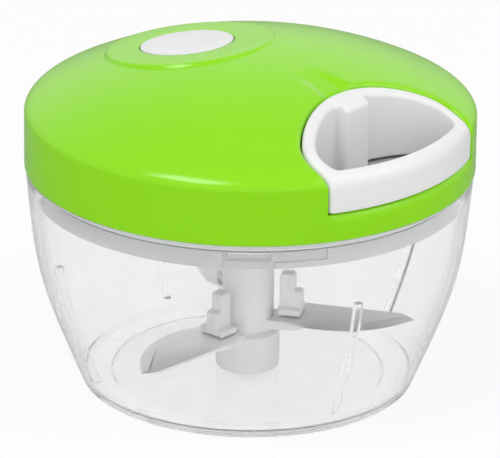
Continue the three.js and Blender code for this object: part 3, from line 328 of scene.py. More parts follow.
def spun(path, segments=96, closed=False, start=0.0, sweep=360.0):
    """A path of (radius, height) points turned about the upright axis."""
    bm = bmesh.new()
    angle = radians(start)
    verts = [bm.verts.new((r * cos(angle), r * sin(angle), z)) for r, z in path]
    edges = [bm.edges.new(pair) for pair in zip(verts, verts[1:])]
    if closed:
        edges.append(bm.edges.new((verts[-1], verts[0])))
    full = sweep == 360.0
    ops.spin(
        bm, geom=verts + edges, cent=(0, 0, 0), axis=(0, 0, 1), angle=radians(sweep),
        steps=segments, use_merge=full,
    )
    ops.remove_doubles(bm, verts=bm.verts, dist=SAME_PLACE)
    if not full:
        ops.holes_fill(bm, edges=[e for e in bm.edges if e.is_boundary], sides=0)
    return closed_up(bm)


def cylinder(radius, low, high, segments=32, start=0.0):
    return spun(rectangle(0, radius, low, high), segments, start=start)


def slab(outline, bottom, top, edge=0.0, segments=3):
    """An outline of (x, y) points raised between two heights, its edges rounded."""
    bm = bmesh.new()
    face = bm.faces.new([bm.verts.new((x, y, bottom)) for x, y in outline])
    grown = ops.extrude_face_region(bm, geom=[face])
    raised = [v for v in grown["geom"] if isinstance(v, BMVert)]
    ops.translate(bm, vec=(0, 0, top - bottom), verts=raised)
    closed_up(bm)
    if edge:
        soften(bm, edge, segments)
    return bm


def soften(bm, width, segments=3, angle=35):
    """Rounds the edges that are sharper than an angle."""
    sharp = [e for e in bm.edges if e.is_manifold and e.calc_face_angle() > radians(angle)]
    ops.bevel(
        bm, geom=sharp, offset=width, offset_type="OFFSET", segments=segments, profile=0.5,
        affect="EDGES", clamp_overlap=True, material=-1,
    )


def stacked(loops):
    """Closed loops of as many points each, joined one above the other and closed at both ends."""
    bm = bmesh.new()
    verts = [bm.verts.new(place) for place in loops[0]]
    edges = [bm.edges.new(pair) for pair in zip(verts, verts[1:] + verts[:1])]
    first = list(edges)
    for loop in loops[1:]:
        grown = ops.extrude_edge_only(bm, edges=edges)["geom"]
        fresh = {v for v in grown if isinstance(v, BMVert)}
        verts = [next(e.other_vert(v) for e in v.link_edges if e.other_vert(v) in fresh) for v in verts]
        edges = [e for e in grown if isinstance(e, BMEdge)]
        for vert, place in zip(verts, loop):
            vert.co = place
    ops.holes_fill(bm, edges=first, sides=0)
    ops.holes_fill(bm, edges=edges, sides=0)
    return closed_up(bm)


def ring_closed(bm):
    """Joins the first and last of the stacked loops, which lie in one place, into an endless ring."""
    ops.delete(bm, geom=[f for f in bm.faces if len(f.verts) > 4], context="FACES_ONLY")
    return closed_up(bm, SAME_PLACE)


def moved(bm, matrix):
    ops.transform(bm, matrix=matrix, verts=bm.verts)
    return bm


def turn(angle, axis="Z"):
    return Matrix.Rotation(radians(angle), 4, axis)


def shift(x, y, z):
    return Matrix.Translation((x, y, z))


def on_cord(x):
    """The matrix that lays an upright shape along the cord's line, its foot at x."""
    return shift(x, 0, CORD_HEIGHT) @ turn(90, "Y")


def as_mesh(bm, name):
    mesh = bpy.data.meshes.new(name)
    bm.to_mesh(mesh)
    bm.free()
    return mesh


def placed(name, data):
    obj = bpy.data.objects.new(name, data)
    bpy.context.scene.collection.objects.link(obj)
    return obj


def worked(bm, *steps):
    """A shape joined with, cut by or kept within others: steps are (operation, shape) pairs."""
    def held(shape):
        return placed("work", as_mesh(shape, "work"))

    target = held(bm)
    tools = []
    for operation, shape in steps:
        tool = held(shape)
        tools.append(tool)
        modifier = target.modifiers.new("work", "BOOLEAN")
        modifier.operation = operation
        modifier.object = tool
        modifier.solver = "EXACT"
    depsgraph = bpy.context.evaluated_depsgraph_get()
    result = bmesh.new()
    result.from_object(target, depsgraph)
    for obj in [target, *tools]:
        mesh = obj.data
        bpy.data.objects.remove(obj)
        bpy.data.meshes.remove(mesh)
    return closed_up(result, 10 * SAME_PLACE)


def piece(bm, name, body, finish, nodes=(), smooth=32):
    """A finished shape as an object that rides on a body, if one is named, and stands for some nodes."""
    ops.scale(bm, vec=(METRES,) * 3, verts=bm.verts)
    mesh = as_mesh(bm, name)
    mesh.materials.append(finish.material)
    mesh.shade_smooth()
    mesh.set_sharp_from_angle(angle=radians(smooth))
    obj = placed(name, mesh)
    if body:
        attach(obj, body)
    if nodes:
        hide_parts(*nodes)
    return obj


# Finishes

def cleared(owner):
    """The node tree of a material or world, emptied."""
    owner.use_nodes = True
    owner.node_tree.nodes.clear()
    return owner.node_tree


def add_node(tree, kind, **values):
    """A new shader node whose properties and inputs are set by name."""
    made = tree.nodes.new("ShaderNode" + kind)
    for key, value in values.items():
        if key in made.bl_rna.properties:
            setattr(made, key, value)
        else:
            made.inputs[key.replace("_", " ")].default_value = value
    return made


def ranged(tree, source, low, high, to_low=0.0, to_high=1.0):
    """A value between two limits, spread between two others."""
    made = add_node(tree, "MapRange", From_Min=low, From_Max=high, To_Min=to_low, To_Max=to_high)
    tree.links.new(source, made.inputs["Value"])
    return made.outputs[0]


def combined(tree, operation, first, second, clamped=False):
    made = add_node(tree, "Math", operation=operation, use_clamp=clamped)
    tree.links.new(first, made.inputs[0])
    tree.links.new(second, made.inputs[1])
    return made.outputs[0]


def blended(tree, share, first, second):
    """Two shader nodes mixed by a share, or half and half without one."""
    made = add_node(tree, "MixShader")
    if share is not None:
        tree.links.new(share, made.inputs[0])
    tree.links.new(first.outputs[0], made.inputs[1])
    tree.links.new(second.outputs[0], made.inputs[2])
    return made


class Finish:
    """A material whose principled shader takes its variation from the piece's own coordinates."""

    def __init__(self, slot, name, colour, roughness, metallic=0.0, ior=1.5):
        self.slot = slot
        self.material = bpy.data.materials.new(name)
        self.tree = cleared(self.material)
        self.output = self.node("OutputMaterial")
        self.shader = self.node(
            "BsdfPrincipled", Base_Color=(*colour, 1), Roughness=roughness, Metallic=metallic, IOR=ior,
        )
        self.link(self.shader.outputs[0], self.output.inputs["Surface"])
        self.place = self.node("TexCoord").outputs["Object"]

    def node(self, kind, **values):
        return add_node(self.tree, kind, **values)

    def link(self, start, end):
        self.tree.links.new(start, end)

    def noise(self, size, detail=3.0, stretch=None, angle=0.0):
        """Noise whose features are about size millimetres, stretched by factors along X, Y and Z."""
        made = self.node("TexNoise", Scale=1 / (size * METRES), Detail=detail)
        place = self.place
        if stretch:
            rotation = (0, 0, radians(angle))
            mapping = self.node("Mapping", vector_type="TEXTURE", Rotation=rotation, Scale=stretch)
            self.link(place, mapping.inputs["Vector"])
            place = mapping.outputs[0]
        self.link(place, made.inputs["Vector"])
        return made.outputs[0]

    def spread(self, source, low, high):
        """A noise value spread between two values."""
        return ranged(self.tree, source, 0.3, 0.7, low, high)

    def vary_roughness(self, source, low, high):
        self.link(self.spread(source, low, high), self.shader.inputs["Roughness"])

    def vary_colour(self, source, first, second):
        mix = self.node("Mix", data_type="RGBA")
        mix.inputs[6].default_value = (*first, 1)
        mix.inputs[7].default_value = (*second, 1)
        self.link(self.spread(source, 0, 1), mix.inputs[0])
        self.link(mix.outputs[2], self.shader.inputs["Base Color"])

    def bump(self, source, depth, strength=1.0):
        """Relief of about depth millimetres."""
        made = self.node("Bump", Strength=strength, Distance=depth * METRES)
        self.link(source, made.inputs["Height"])
        self.link(made.outputs[0], self.shader.inputs["Normal"])


def moulded(slot, name, first, second, rough, ripple=0.02, gloss=0.5):
    """Moulded plastic: a faint drift in colour and gloss and a fine ripple from the mould."""
    finish = Finish(slot, name, first, sum(rough) / 2)
    finish.shader.inputs["Specular IOR Level"].default_value = gloss
    finish.vary_colour(finish.noise(28), first, second)
    finish.vary_roughness(finish.noise(3.5, 4), *rough)
    finish.bump(finish.noise(1.1, 2), ripple, 0.35)
    return finish


def clear_plastic(name):
    """Clear moulded plastic, faintly clouded white all over, with more white mixed in as a painted highlight
    along the rim and as painted light where it is seen edge-on. Lamps shine through it.
    """
    finish = Finish("clear_plastic", name, (0.994, 0.996, 0.997), 0.02, ior=1.32)
    finish.shader.inputs["Transmission Weight"].default_value = 1.0
    finish.vary_roughness(finish.noise(9, 3), 0.0, 0.06)
    finish.bump(finish.noise(14, 2), 0.05, 0.3)
    tree, clouding_and_painted_light_white = finish.tree, (0.96, 0.963, 0.966, 1)
    milk, glow = finish.node("BsdfDiffuse", Color=clouding_and_painted_light_white), finish.node("BsdfTranslucent", Color=clouding_and_painted_light_white)
    haze_and_painted_light = blended(tree, None, milk, glow)
    parts = finish.node("SeparateXYZ")
    finish.link(finish.place, parts.inputs[0])
    # Near the rim's top more white is mixed in: a painted highlight along the rim.
    rim_start, rim_end = (BOWL_HEIGHT - 1.0) * METRES, (BOWL_HEIGHT - 0.3) * METRES
    rim = ranged(tree, parts.outputs["Z"], rim_start, rim_end, 0.0, 0.5)
    # Where the wall is seen edge-on more white is mixed in: painted light at the silhouettes.
    facing = finish.node("LayerWeight", Blend=0.5).outputs["Facing"]
    edges = combined(tree, "MAXIMUM", rim, ranged(tree, facing, 0.72, 1.0, 0.0, 0.75))
    # The noise cloud is the plastic's own faint clouding.
    cloud = finish.spread(finish.noise(16, 2), 0.05, 0.1)
    body = blended(tree, combined(tree, "ADD", edges, cloud), finish.shader, haze_and_painted_light)
    passed = finish.node("BsdfTransparent", Color=(0.96, 0.965, 0.97, 1))
    shadow = finish.node("LightPath").outputs["Is Shadow Ray"]
    finish.link(blended(tree, shadow, body, passed).outputs[0], finish.output.inputs["Surface"])
    return finish


def ground_steel(name, angle=0.0, tone=0.56):
    """Steel ground across the blade: fine scratches along one direction."""
    finish = Finish("steel", name, (tone, tone, tone * 1.02), 0.3, metallic=1.0)
    grain = finish.noise(0.9, 5, stretch=(0.06, 1, 1), angle=angle)
    finish.vary_colour(grain, (tone * 0.93,) * 3, (tone * 1.07,) * 3)
    finish.vary_roughness(grain, 0.24, 0.38)
    finish.bump(grain, 0.01, 0.4)
    return finish


def woven_cord(name):
    """Cord of pale yarns that cross each other aslant, with their relief and painted shade in the lines
    between them.
    """
    painted_crevice_shade, pale = (0.5, 0.49, 0.45), (0.82, 0.81, 0.78)
    finish = Finish("cord", name, pale, 0.85)
    yarns = finish.node("Math", operation="MULTIPLY")
    for k, slant in enumerate((35, -35)):
        rotation = (radians(slant),) * 3
        mapping = finish.node("Mapping", vector_type="TEXTURE", Rotation=rotation)
        finish.link(finish.place, mapping.inputs["Vector"])
        wave = finish.node("TexWave", Scale=1 / (3.2 * METRES), Distortion=0.6, Detail=2.0)
        finish.link(mapping.outputs[0], wave.inputs["Vector"])
        finish.link(wave.outputs["Fac"], yarns.inputs[k])
    # The colour falls to painted shade in the crevices between the yarns.
    finish.vary_colour(yarns.outputs[0], painted_crevice_shade, pale)
    finish.vary_roughness(finish.noise(0.6, 3), 0.78, 0.94)
    finish.bump(yarns.outputs[0], 0.12, 0.8)
    return finish


green = moulded(
    "green_plastic", "lime_green_plastic", (0.252, 0.665, 0.004), (0.262, 0.68, 0.005), (0.15, 0.21),
    gloss=0.33,
)
white, plug_white_painted_shade, rotor_white = (
    moulded("white_plastic", *look) for look in (
        ("white_plastic", (0.76, 0.76, 0.757), (0.78, 0.78, 0.778), (0.3, 0.4)),
        # The plug is white plastic painted darker than the other white, as painted shade under the lid.
        ("plug_white_plastic_painted_shade", (0.58, 0.58, 0.578), (0.61, 0.61, 0.608), (0.35, 0.45)),
        ("rotor_white_plastic", (0.77, 0.77, 0.767), (0.8, 0.8, 0.798), (0.33, 0.43)),
    )
)
clear = clear_plastic("clear_bowl_plastic")
nylon = moulded("nylon", "natural_nylon", (0.72, 0.71, 0.67), (0.76, 0.755, 0.72), (0.42, 0.52), 0.03)
silicone = moulded("silicone", "seal_silicone", (0.74, 0.76, 0.76), (0.78, 0.8, 0.8), (0.5, 0.62), 0.03)
steel = ground_steel("turned_steel")
# Each blade gets its own copy of the steel in the tone listed for it: painted reflection on the upper and
# lower ones.
blade_steel_with_painted_reflection = {
    place: ground_steel("ground_steel_" + place, angle=BLADE_ANGLES[place], tone=tone)
    for place, tone in BLADE_TONES_WITH_PAINTED_REFLECTION.items()
}
spring_steel = ground_steel("blued_spring_steel", tone=0.3)
cord = woven_cord("woven_cord")


# Lid surface

def dome_height(radius):
    share = (radius / DOME_EDGE) ** 2
    return APEX - DOME_RISE * ((1 - DOME_QUARTIC) * share + DOME_QUARTIC * share ** 2)


def shoulder_height(t):
    """Height of the shoulder between skirt and dome, as t goes from 0 to 1."""
    return (1 - t) ** 2 * SKIRT_TOP + 2 * t * (1 - t) * SHOULDER_CONTROL + t * t * DOME_EDGE_HEIGHT


def smooth_lid_height(radius):
    """Height of the lid's outer face at a radius, over dome and shoulder."""
    if radius <= DOME_EDGE:
        return dome_height(radius)
    return shoulder_height(sqrt(max(RIM_RADIUS - radius, 0) / (RIM_RADIUS - DOME_EDGE)))


def lid_height(x, y):
    """Height of the lid's outer face, with the finger groove."""
    height = smooth_lid_height(hypot(x, y))
    along = (x - GROOVE_START) / (GROOVE_END - GROOVE_START)
    edge = GROOVE_HALF_WIDTH + GROOVE_FLARE * max(along, 0) ** 2
    if along > 0 and abs(y) < edge:
        start = dome_height(GROOVE_START)
        end = dome_height(GROOVE_END) - GROOVE_DEPTH
        depth = max(dome_height(x) - (start + (end - start) * along), 0)
        side = min((edge - abs(y)) / GROOVE_SIDE, 1)
        height -= depth * side * side * (3 - 2 * side)
    return height


def half_moon(inset, rim, corner, counts):
    """Outline of the handle's pocket moved inwards: a scoop, two shoulders, straight sides and a rim."""
    side, scoop, shoulder = POCKET_HALF_WIDTH - inset, POCKET_RADIUS - inset, POCKET_SHOULDER - inset
    shoulder_y = side - shoulder
    shoulder_x = POCKET_CENTRE - sqrt((scoop - shoulder) ** 2 - shoulder_y ** 2)
    scoop_angle = degrees(atan2(shoulder_y, shoulder_x - POCKET_CENTRE))
    corner_y = side - corner
    corner_x = sqrt((rim - corner) ** 2 - corner_y ** 2)
    rim_angle = degrees(atan2(corner_y, corner_x))
    rim_count, corner_count, side_count, shoulder_count, (far, near) = counts
    root = degrees(asin((HANDLE_BOSS_HALF + HANDLE_BOSS_FLARE) / scoop))
    half = [
        *arc((0, 0), rim, 0, rim_angle, rim_count),
        *arc((corner_x, corner_y), corner, rim_angle, 90, corner_count)[1:],
        *((corner_x + (shoulder_x - corner_x) * k / side_count, side) for k in range(1, side_count)),
        *arc((shoulder_x, shoulder_y), shoulder, 90, scoop_angle, shoulder_count),
        *arc((POCKET_CENTRE, 0), scoop, scoop_angle, 180 - root, far)[1:],
        *arc((POCKET_CENTRE, 0), scoop, 180 - root, 180, near)[1:],
    ]
    return [*half, *((x, -y) for x, y in reversed(half[1:-1]))]


# Bowl

def bowl_wall_radius(height):
    low, high = 0.0, 1.0
    for _ in range(40):
        middle = (low + high) / 2
        if bezier(BOWL_CURVE, middle).y < height:
            low = middle
        else:
            high = middle
    return bezier(BOWL_CURVE, low).x


def make_bowl():
    """The bowl in one skin: underside, outer wall, rim, inner wall with ribs and lugs, floor and boss."""
    outer = [tuple(bezier(BOWL_CURVE, k / CURVE_STEPS)) for k in range(CURVE_STEPS + 1)]
    rows = [LUG_CENTRE + LUG_HALF_HEIGHT, LUG_CENTRE, LUG_CENTRE - LUG_HALF_HEIGHT]
    for top, count in INNER_ROWS:
        rows += [top - INNER_ROW * k for k in range(count)]
    low = BOWL_FLOOR + BOWL_CORNER
    side = bowl_wall_radius(low) - BOWL_WALL
    bm = spun([
        *soft_path(BOWL_UNDERSIDE),
        *soft_path([(BOWL_FOOT, 0), BOWL_FOOT_CORNER, outer[0]], steps=6)[1:],
        *outer[1:-1],
        *soft_path([outer[-2], *BOWL_RIM])[1:],
        *((bowl_wall_radius(z) - BOWL_WALL, z) for z in rows),
        *soft_path([(side, low), (side, BOWL_FLOOR, BOWL_CORNER), (side - BOWL_CORNER, BOWL_FLOOR)], steps=8),
        *soft_path(BOWL_BOSS),
    ], BOWL_SEGMENTS)

    def inner_faces(centre, half, low, high):
        found = []
        for face in bm.faces:
            middle = face.calc_center_median()
            radius = hypot(*middle.xy)
            if abs(angle_from(middle, centre)) < half and low < middle.z < high:
                if abs(radius - bowl_wall_radius(middle.z) + BOWL_WALL) < 0.5:
                    found.append(face)
        return found

    def raised(faces):
        grown = ops.extrude_face_region(bm, geom=faces)["geom"]
        kept = [f for f in faces if f.is_valid]
        if kept:
            ops.delete(bm, geom=kept, context="FACES_ONLY")
        return [v for v in grown if isinstance(v, BMVert)]

    for angle in RIB_ANGLES:
        away = turn(angle) @ Vector((-RIB_DEPTH, 0, 0))
        patch = inner_faces(angle, RIB_HALF_ANGLE, RIB_BOTTOM, RIB_TOP)
        ops.translate(bm, vec=away, verts=raised(patch))
    for angle in LUG_ANGLES:
        patch = inner_faces(angle, LUG_HALF_ANGLE, LUG_CENTRE - LUG_HALF_HEIGHT, LUG_CENTRE + LUG_HALF_HEIGHT)
        for vert in raised(patch):
            offset = angle_from(vert.co, angle)
            if abs(offset) > LUG_HALF_ANGLE - 0.5 and abs(vert.co.z - LUG_CENTRE) > LUG_HALF_HEIGHT / 2:
                vert.co = turn(-copysign(LUG_TAPER, offset)) @ vert.co
            vert.co -= Vector((*vert.co.xy, 0)).normalized() * LUG_REACH
    piece(closed_up(bm), "bowl_clear", "bowl", clear, ["bowl"])


# Lid cover, platform and disc

def pocket_loop(inset, height):
    """The pocket's outline, open over the rim, at the heights that a function gives."""
    outline = half_moon(inset, RIM_RADIUS + 4, HANDLE_CORNER, POCKET_COUNTS)
    return [(x, y, height(x, y)) for x, y in outline]


def pocket_cutter():
    """The handle's pocket: a wall that flares out over the lid's face as a round lip."""
    lift = POCKET_ROUND * (1 - sin(radians(ROUND_SWEEP))) + OVERLAP

    def loop(inset, height):
        # Where the pocket's sides come out of the skirt, they turn outwards round a corner
        made = []
        for x, y, _ in pocket_loop(inset, lambda x, y: 0):
            inside = RIM_RADIUS - hypot(x, y)
            if -1 < inside < POCKET_CORNER:
                inside = max(inside, 0.02 * POCKET_CORNER)
                y += copysign(round_drop(inside, POCKET_CORNER), y)
            elif inside <= -1:
                y += copysign(0.8 * POCKET_CORNER, y) * (abs(y) > POCKET_HALF_WIDTH - 3)
            made.append((x, y, height(x, y)))
        return made

    loops = [
        loop(0, lambda x, y: POCKET_LIP),
        loop(0, lambda x, y: max(lid_height(x, y) - 8, POCKET_LIP + 0.5)),
    ]
    for slope in range(0, ROUND_SWEEP + 1, 8):
        out = POCKET_ROUND * (1 - cos(radians(slope)))
        down = POCKET_ROUND * (sin(radians(slope)) - 1) + lift
        loops.append(loop(-out, lambda x, y: lid_height(x, y) + down))
    over = loop(-out, lambda x, y: lid_height(x, y) + 3)
    return stacked([*loops, over, loop(-out, lambda x, y: APEX + 5)])


def lip_cutter():
    """The round edge of the skirt below the handle, which fades out at the pocket's sides."""
    side, top, beyond, above = RIM_RADIUS + OVERLAP, POCKET_LIP + OVERLAP, RIM_RADIUS + 3, POCKET_LIP + 1
    reach = degrees(asin((POCKET_HALF_WIDTH + 0.3) / RIM_RADIUS))
    path = []
    for slope in range(86, -1, -8):
        c, s = cos(radians(slope)), sin(radians(slope))
        radius = RIM_RADIUS - LIP_WIDTH + LIP_WIDTH * c + OVERLAP
        path.append((radius, POCKET_LIP - LIP_HEIGHT + LIP_HEIGHT * s + OVERLAP))
    path += [(beyond, path[-1][1]), (beyond, above), (path[0][0], above)]
    bm = spun(path, 80, closed=True, start=-reach, sweep=2 * reach)
    for vert in bm.verts:
        angle = abs(degrees(atan2(vert.co.y, vert.co.x)))
        share = min(max((reach - angle) / LIP_FADE, 0.02), 1)
        share = share * share * (3 - 2 * share)
        radius = hypot(*vert.co.xy)
        if radius < RIM_RADIUS + 0.5 and vert.co.z < POCKET_LIP + 0.5:
            to = side - (side - radius) * share
            vert.co.x *= to / radius
            vert.co.y *= to / radius
            vert.co.z = top - (top - vert.co.z) * share
    return bm


def make_lid():
    inside = RIM_RADIUS - SKIRT_WALL
    foot = [(inside, 68), (inside, RIM_BOTTOM, 0.4), (RIM_RADIUS, RIM_BOTTOM, 0.5), (RIM_RADIUS, SKIRT_FOOT)]
    skirt = [(RIM_RADIUS, SKIRT_FOOT + k * (SKIRT_TOP - SKIRT_FOOT) / 8) for k in range(9)]
    shares = [k / SHOULDER_STEPS for k in range(1, SHOULDER_STEPS)]
    shoulder = [(RIM_RADIUS - (RIM_RADIUS - DOME_EDGE) * t * t, shoulder_height(t)) for t in shares]
    dome = [DOME_EDGE * (1 - k / DOME_STEPS) for k in range(DOME_STEPS + 1)]
    bm = spun([
        *soft_path(foot)[:-1], *skirt, *shoulder,
        *((r, dome_height(r)) for r in dome),
        *((r, dome_height(r) - DOME_WALL) for r in DOME_INNER_RADII),
        (58.9, 80.2), (60.4, 78.4), (inside, 76),
    ], 288, closed=True)
    for vert in bm.verts:
        radius = hypot(*vert.co.xy)
        if radius < DOME_EDGE and vert.co.z > dome_height(radius) - 0.05:
            vert.co.z = lid_height(*vert.co.xy)

    def under_face(x, y):
        return lid_height(x, y) - LID_SKIN

    wall = stacked([
        pocket_loop(-POCKET_WALL, lambda x, y: POCKET_WALL_BOTTOM), pocket_loop(-POCKET_WALL, under_face),
    ])
    scooped = stacked([pocket_loop(0.15, lambda x, y: 60), pocket_loop(0.15, lambda x, y: APEX + 5)])
    within = cylinder(inside + 1, 60, 110, 144)
    steps = [(JOIN, worked(wall, (CUT, scooped), (KEEP, within)))]
    for angle in LID_BOSS_ANGLES:
        boss = spun(rectangle(PILOT_RADIUS, LID_BOSS_RADIUS, LID_BOSS_BOTTOM, FAR_UP), 32, closed=True)
        place = turn(angle) @ Vector((LID_BOSS_CIRCLE, 0, 0))
        for vert in boss.verts:
            vert.co += place
            if vert.co.z > APEX:
                vert.co.z = under_face(*vert.co.xy)
        steps.append((JOIN, boss))
    guide_hole = moved(cylinder(3.2, 0, 6), on_cord(26))
    platform_hole = cylinder(*PLATFORM_HOLE, 96)
    for vert in platform_hole.verts:
        vert.co = on_platform(vert.co)
    steps += [(CUT, cut) for cut in (pocket_cutter(), lip_cutter(), guide_hole, platform_hole)]
    piece(worked(bm, *steps), "lid_shell", "lid", green, ["lid_cover"], smooth=30)


def on_platform(point):
    """A point given from the disc's centre, level with the tilted platform."""
    return shift(*DISC_CENTRE) @ turn(-PLATFORM_TILT, "Y") @ Vector(point)


def make_platform():
    """The raised round on the dome, with the seat for its disc and a short side that runs into the dome."""
    # Heights above this mark stand for the side's rows and the underside's edge, which are laid on the dome
    mark = 500
    edge = mark + 100
    rows = range(1, PLATFORM_ROWS + 1)
    bm = spun([
        *soft_path([*DISC_SEAT, (PLATFORM_RADIUS, 0)], steps=6),
        *((PLATFORM_RADIUS + PLATFORM_SIDE * k / PLATFORM_ROWS, mark + k) for k in rows),
        (PLATFORM_RADIUS + PLATFORM_SIDE, edge), (PLATFORM_RADIUS - 1.5, PLATFORM_BOTTOM),
        (0, PLATFORM_BOTTOM),
    ], 240)
    for vert in bm.verts:
        row = vert.co.z - mark
        aside = PLATFORM_OFFSET * (hypot(*vert.co.xy) > DISC_RADIUS + 1)
        sunk = 0.9 if vert.co.z == edge else 0.04
        place = on_platform((vert.co.x + aside, vert.co.y, min(vert.co.z, 0)))
        if row > 0:
            share = min(row / PLATFORM_ROWS, 1)
            foot = dome_height(hypot(*place.xy)) - sunk
            place.z += (foot - place.z) * share * share * (3 - 2 * share)
        vert.co = place
    piece(bm, "lid_platform", "lid", green)


def make_disc():
    bm = spun(soft_path(DISC_PROFILE, steps=5), 160)
    for vert in bm.verts:
        vert.co = on_platform(vert.co)
    piece(bm, "plain_disc", "lid", white, ["lid_disc"])


# Handle

def handle_outlines():
    """Outer and inner outlines with as many points each, the inner one with the boss for the cord."""
    outer = half_moon(HANDLE_GAP, HANDLE_RIM, HANDLE_CORNER, HANDLE_COUNTS)
    inner = half_moon(HANDLE_GAP + HANDLE_WALL, HANDLE_RIM - HANDLE_WALL, HANDLE_INNER_CORNER, HANDLE_COUNTS)
    near = HANDLE_COUNTS[-1][1]
    apex = len(inner) // 2
    root = inner[apex - near]
    half = soft_path([
        root, (root[0] + 0.4, HANDLE_BOSS_HALF, 1.4), (HANDLE_BOSS_FACE, HANDLE_BOSS_HALF, 1.3),
        (HANDLE_BOSS_FACE, 0),
    ], steps=5)
    while len(half) < near + 1:
        half.insert(-1, tuple((Vector(half[-2]) * 2 + Vector(half[-1])) / 3))
    for k in range(near + 1):
        x, y = half[k]
        inner[apex - near + k] = (x, y)
        inner[apex + near - k] = (x, -y)
    return outer, inner


def make_handle():
    outer, inner = handle_outlines()
    across = HANDLE_SHARES + [0.5] + [1 - share for share in reversed(HANDLE_SHARES)]

    def ring(share, top):
        made = []
        for (x0, y0), (x1, y1) in zip(outer, inner):
            wide = hypot(x1 - x0, y1 - y0)
            x, y = x0 + (x1 - x0) * share, y0 + (y1 - y0) * share
            near = min(share, 1 - share) * wide
            if top:
                z = smooth_lid_height(hypot(x, y)) - HANDLE_SUNK - round_drop(near, HANDLE_TOP_ROUND)
            else:
                z = HANDLE_BOTTOM + round_drop(near, HANDLE_BOTTOM_ROUND)
            made.append((x, y, z))
        return made

    rings = [ring(t, True) for t in across] + [ring(t, False) for t in reversed(across)]
    way = moved(cylinder(1.1, 0, 20, 24), on_cord(28))
    knot_room = moved(cylinder(2.6, 0, 20, 48), on_cord(34.2))
    bm = worked(ring_closed(stacked([*rings, rings[0]])), (CUT, way), (CUT, knot_room))
    piece(bm, "handle_ring", "handle", white, ["pull_handle"], smooth=30)


def make_knot_cap():
    bm = moved(spun(soft_path(KNOT_CAP, steps=3), 48), on_cord(HANDLE_BOSS_FACE))
    piece(bm, "knot_plug", "handle", white, ["knot_cap"])


# Cord

def swept(points, radius, sides=16, closed=False):
    """A round section led along points."""
    count = len(points)
    places = [Vector(p) for p in points]
    along = []
    for i in range(count):
        before = places[i - 1] if i or closed else places[0]
        after = places[(i + 1) % count] if i + 1 < count or closed else places[-1]
        along.append((after - before).normalized())
    side = along[0].orthogonal().normalized()
    loops = []
    for place, way in zip(places, along):
        side = (side - way * side.dot(way)).normalized()
        other = way.cross(side)
        angles = [2 * pi * k / sides for k in range(sides)]
        loops.append([place + (side * cos(a) + other * sin(a)) * radius for a in angles])
    if closed:
        return ring_closed(stacked([*loops, loops[0]]))
    return stacked(loops)


def cord_piece(points, name, body, nodes=(), radius=CORD_RADIUS, sides=16, closed=False):
    return piece(swept(points, radius, sides, closed), name, body, cord, nodes, 60)


def along_cord(start, step, count):
    return [(start + step * k, 0, CORD_HEIGHT) for k in range(count)]


def make_winding():
    """The cord's four turns on the drum, rising from the first to the last."""
    steps = CORD_TURNS * 60
    points = []
    for k in range(steps + 1):
        left = 1 - k / steps
        angle = radians(LEAVE_ANGLE + left * CORD_TURNS * 360)
        height = CORD_HEIGHT - left * CORD_TURNS * CORD_PITCH
        points.append((WINDING_RADIUS * cos(angle), WINDING_RADIUS * sin(angle), height))
    cord_piece(points, "cord_turns", "reel", ["cord_winding"], sides=12)


def make_lead():
    """The straight run from the drum to the guide and the bend into it."""
    start = Vector((*arc((0, 0), WINDING_RADIUS, LEAVE_ANGLE, LEAVE_ANGLE, 1)[0], CORD_HEIGHT))
    corner = Vector((CORD_CORNER, 0, CORD_HEIGHT))
    way = (corner - start).normalized()
    out = Vector((1, 0, 0))
    first, bend = corner - way * CORD_BEND, corner + out * CORD_BEND
    points = [start + way * 0.3 + (first - start - way * 0.3) * k / 12 for k in range(13)]
    points += [quadratic(first, corner, bend, k / 8) for k in range(1, 9)]
    points += [bend + out * (LEAD_END - bend.x) * k / 3 for k in range(1, 4)]
    cord_piece(points, "cord_run", "lid", ["cord_lead"])


def make_stretch():
    """The cord between lid and handle, hardly a millimetre at rest and as long as the pull when drawn out."""
    obj = cord_piece(along_cord(30.2, 0.1, 29), "cord_pulled", None, radius=CORD_RADIUS - 0.03)
    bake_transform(obj)


def make_tail():
    cord_piece(along_cord(31.95, 0.245, 11), "cord_end", "handle", ["cord_tail"])


def make_knot():
    """The cord's end tied in a small round knot in the boss."""
    points = []
    for k in range(96):
        t = 2 * pi * k / 96
        x, y, z = sin(t) + 2 * sin(2 * t), cos(t) - 2 * cos(2 * t), -sin(3 * t)
        points.append((KNOT_CENTRE + z * KNOT_DEPTH, x * KNOT_SIZE, CORD_HEIGHT + y * KNOT_SIZE))
    cord_piece(points, "cord_knot_tied", "handle", ["cord_knot"], KNOT_CORD_RADIUS, 14, closed=True)


# Rotor

def make_column():
    """The upright that carries the blades, its skirt, its hexagonal end and the three arms."""
    steps = [(JOIN, slab(arc((0, 0), HEXAGON_RADIUS, 0, 300, 5), *HEXAGON_HEIGHTS, ROTOR_EDGE))]
    for name, angle in BLADE_ANGLES.items():
        top = BLADE_LEVELS[name] - ARM_BELOW_BLADE
        reach = CLAMP_END + ARM_BEYOND_CLAMP - ARM_HALF
        outline = [(ARM_START, -ARM_HALF), *arc((reach, 0), ARM_HALF, -90, 90, 24), (ARM_START, ARM_HALF)]
        arm = slab(outline, top - ARM_THICKNESS, top, ROTOR_EDGE)
        hole = moved(cylinder(CLAMP_HOLE_RADIUS, top - 2, top + 3), shift(CLAMP_PIN, 0, 0))
        steps += [(JOIN, moved(arm, turn(angle))), (CUT, moved(hole, turn(angle)))]
    bm = worked(spun(soft_path(COLUMN, steps=6), 128), *steps)
    piece(bm, "blade_post", "rotor", rotor_white, ["blade_column"])


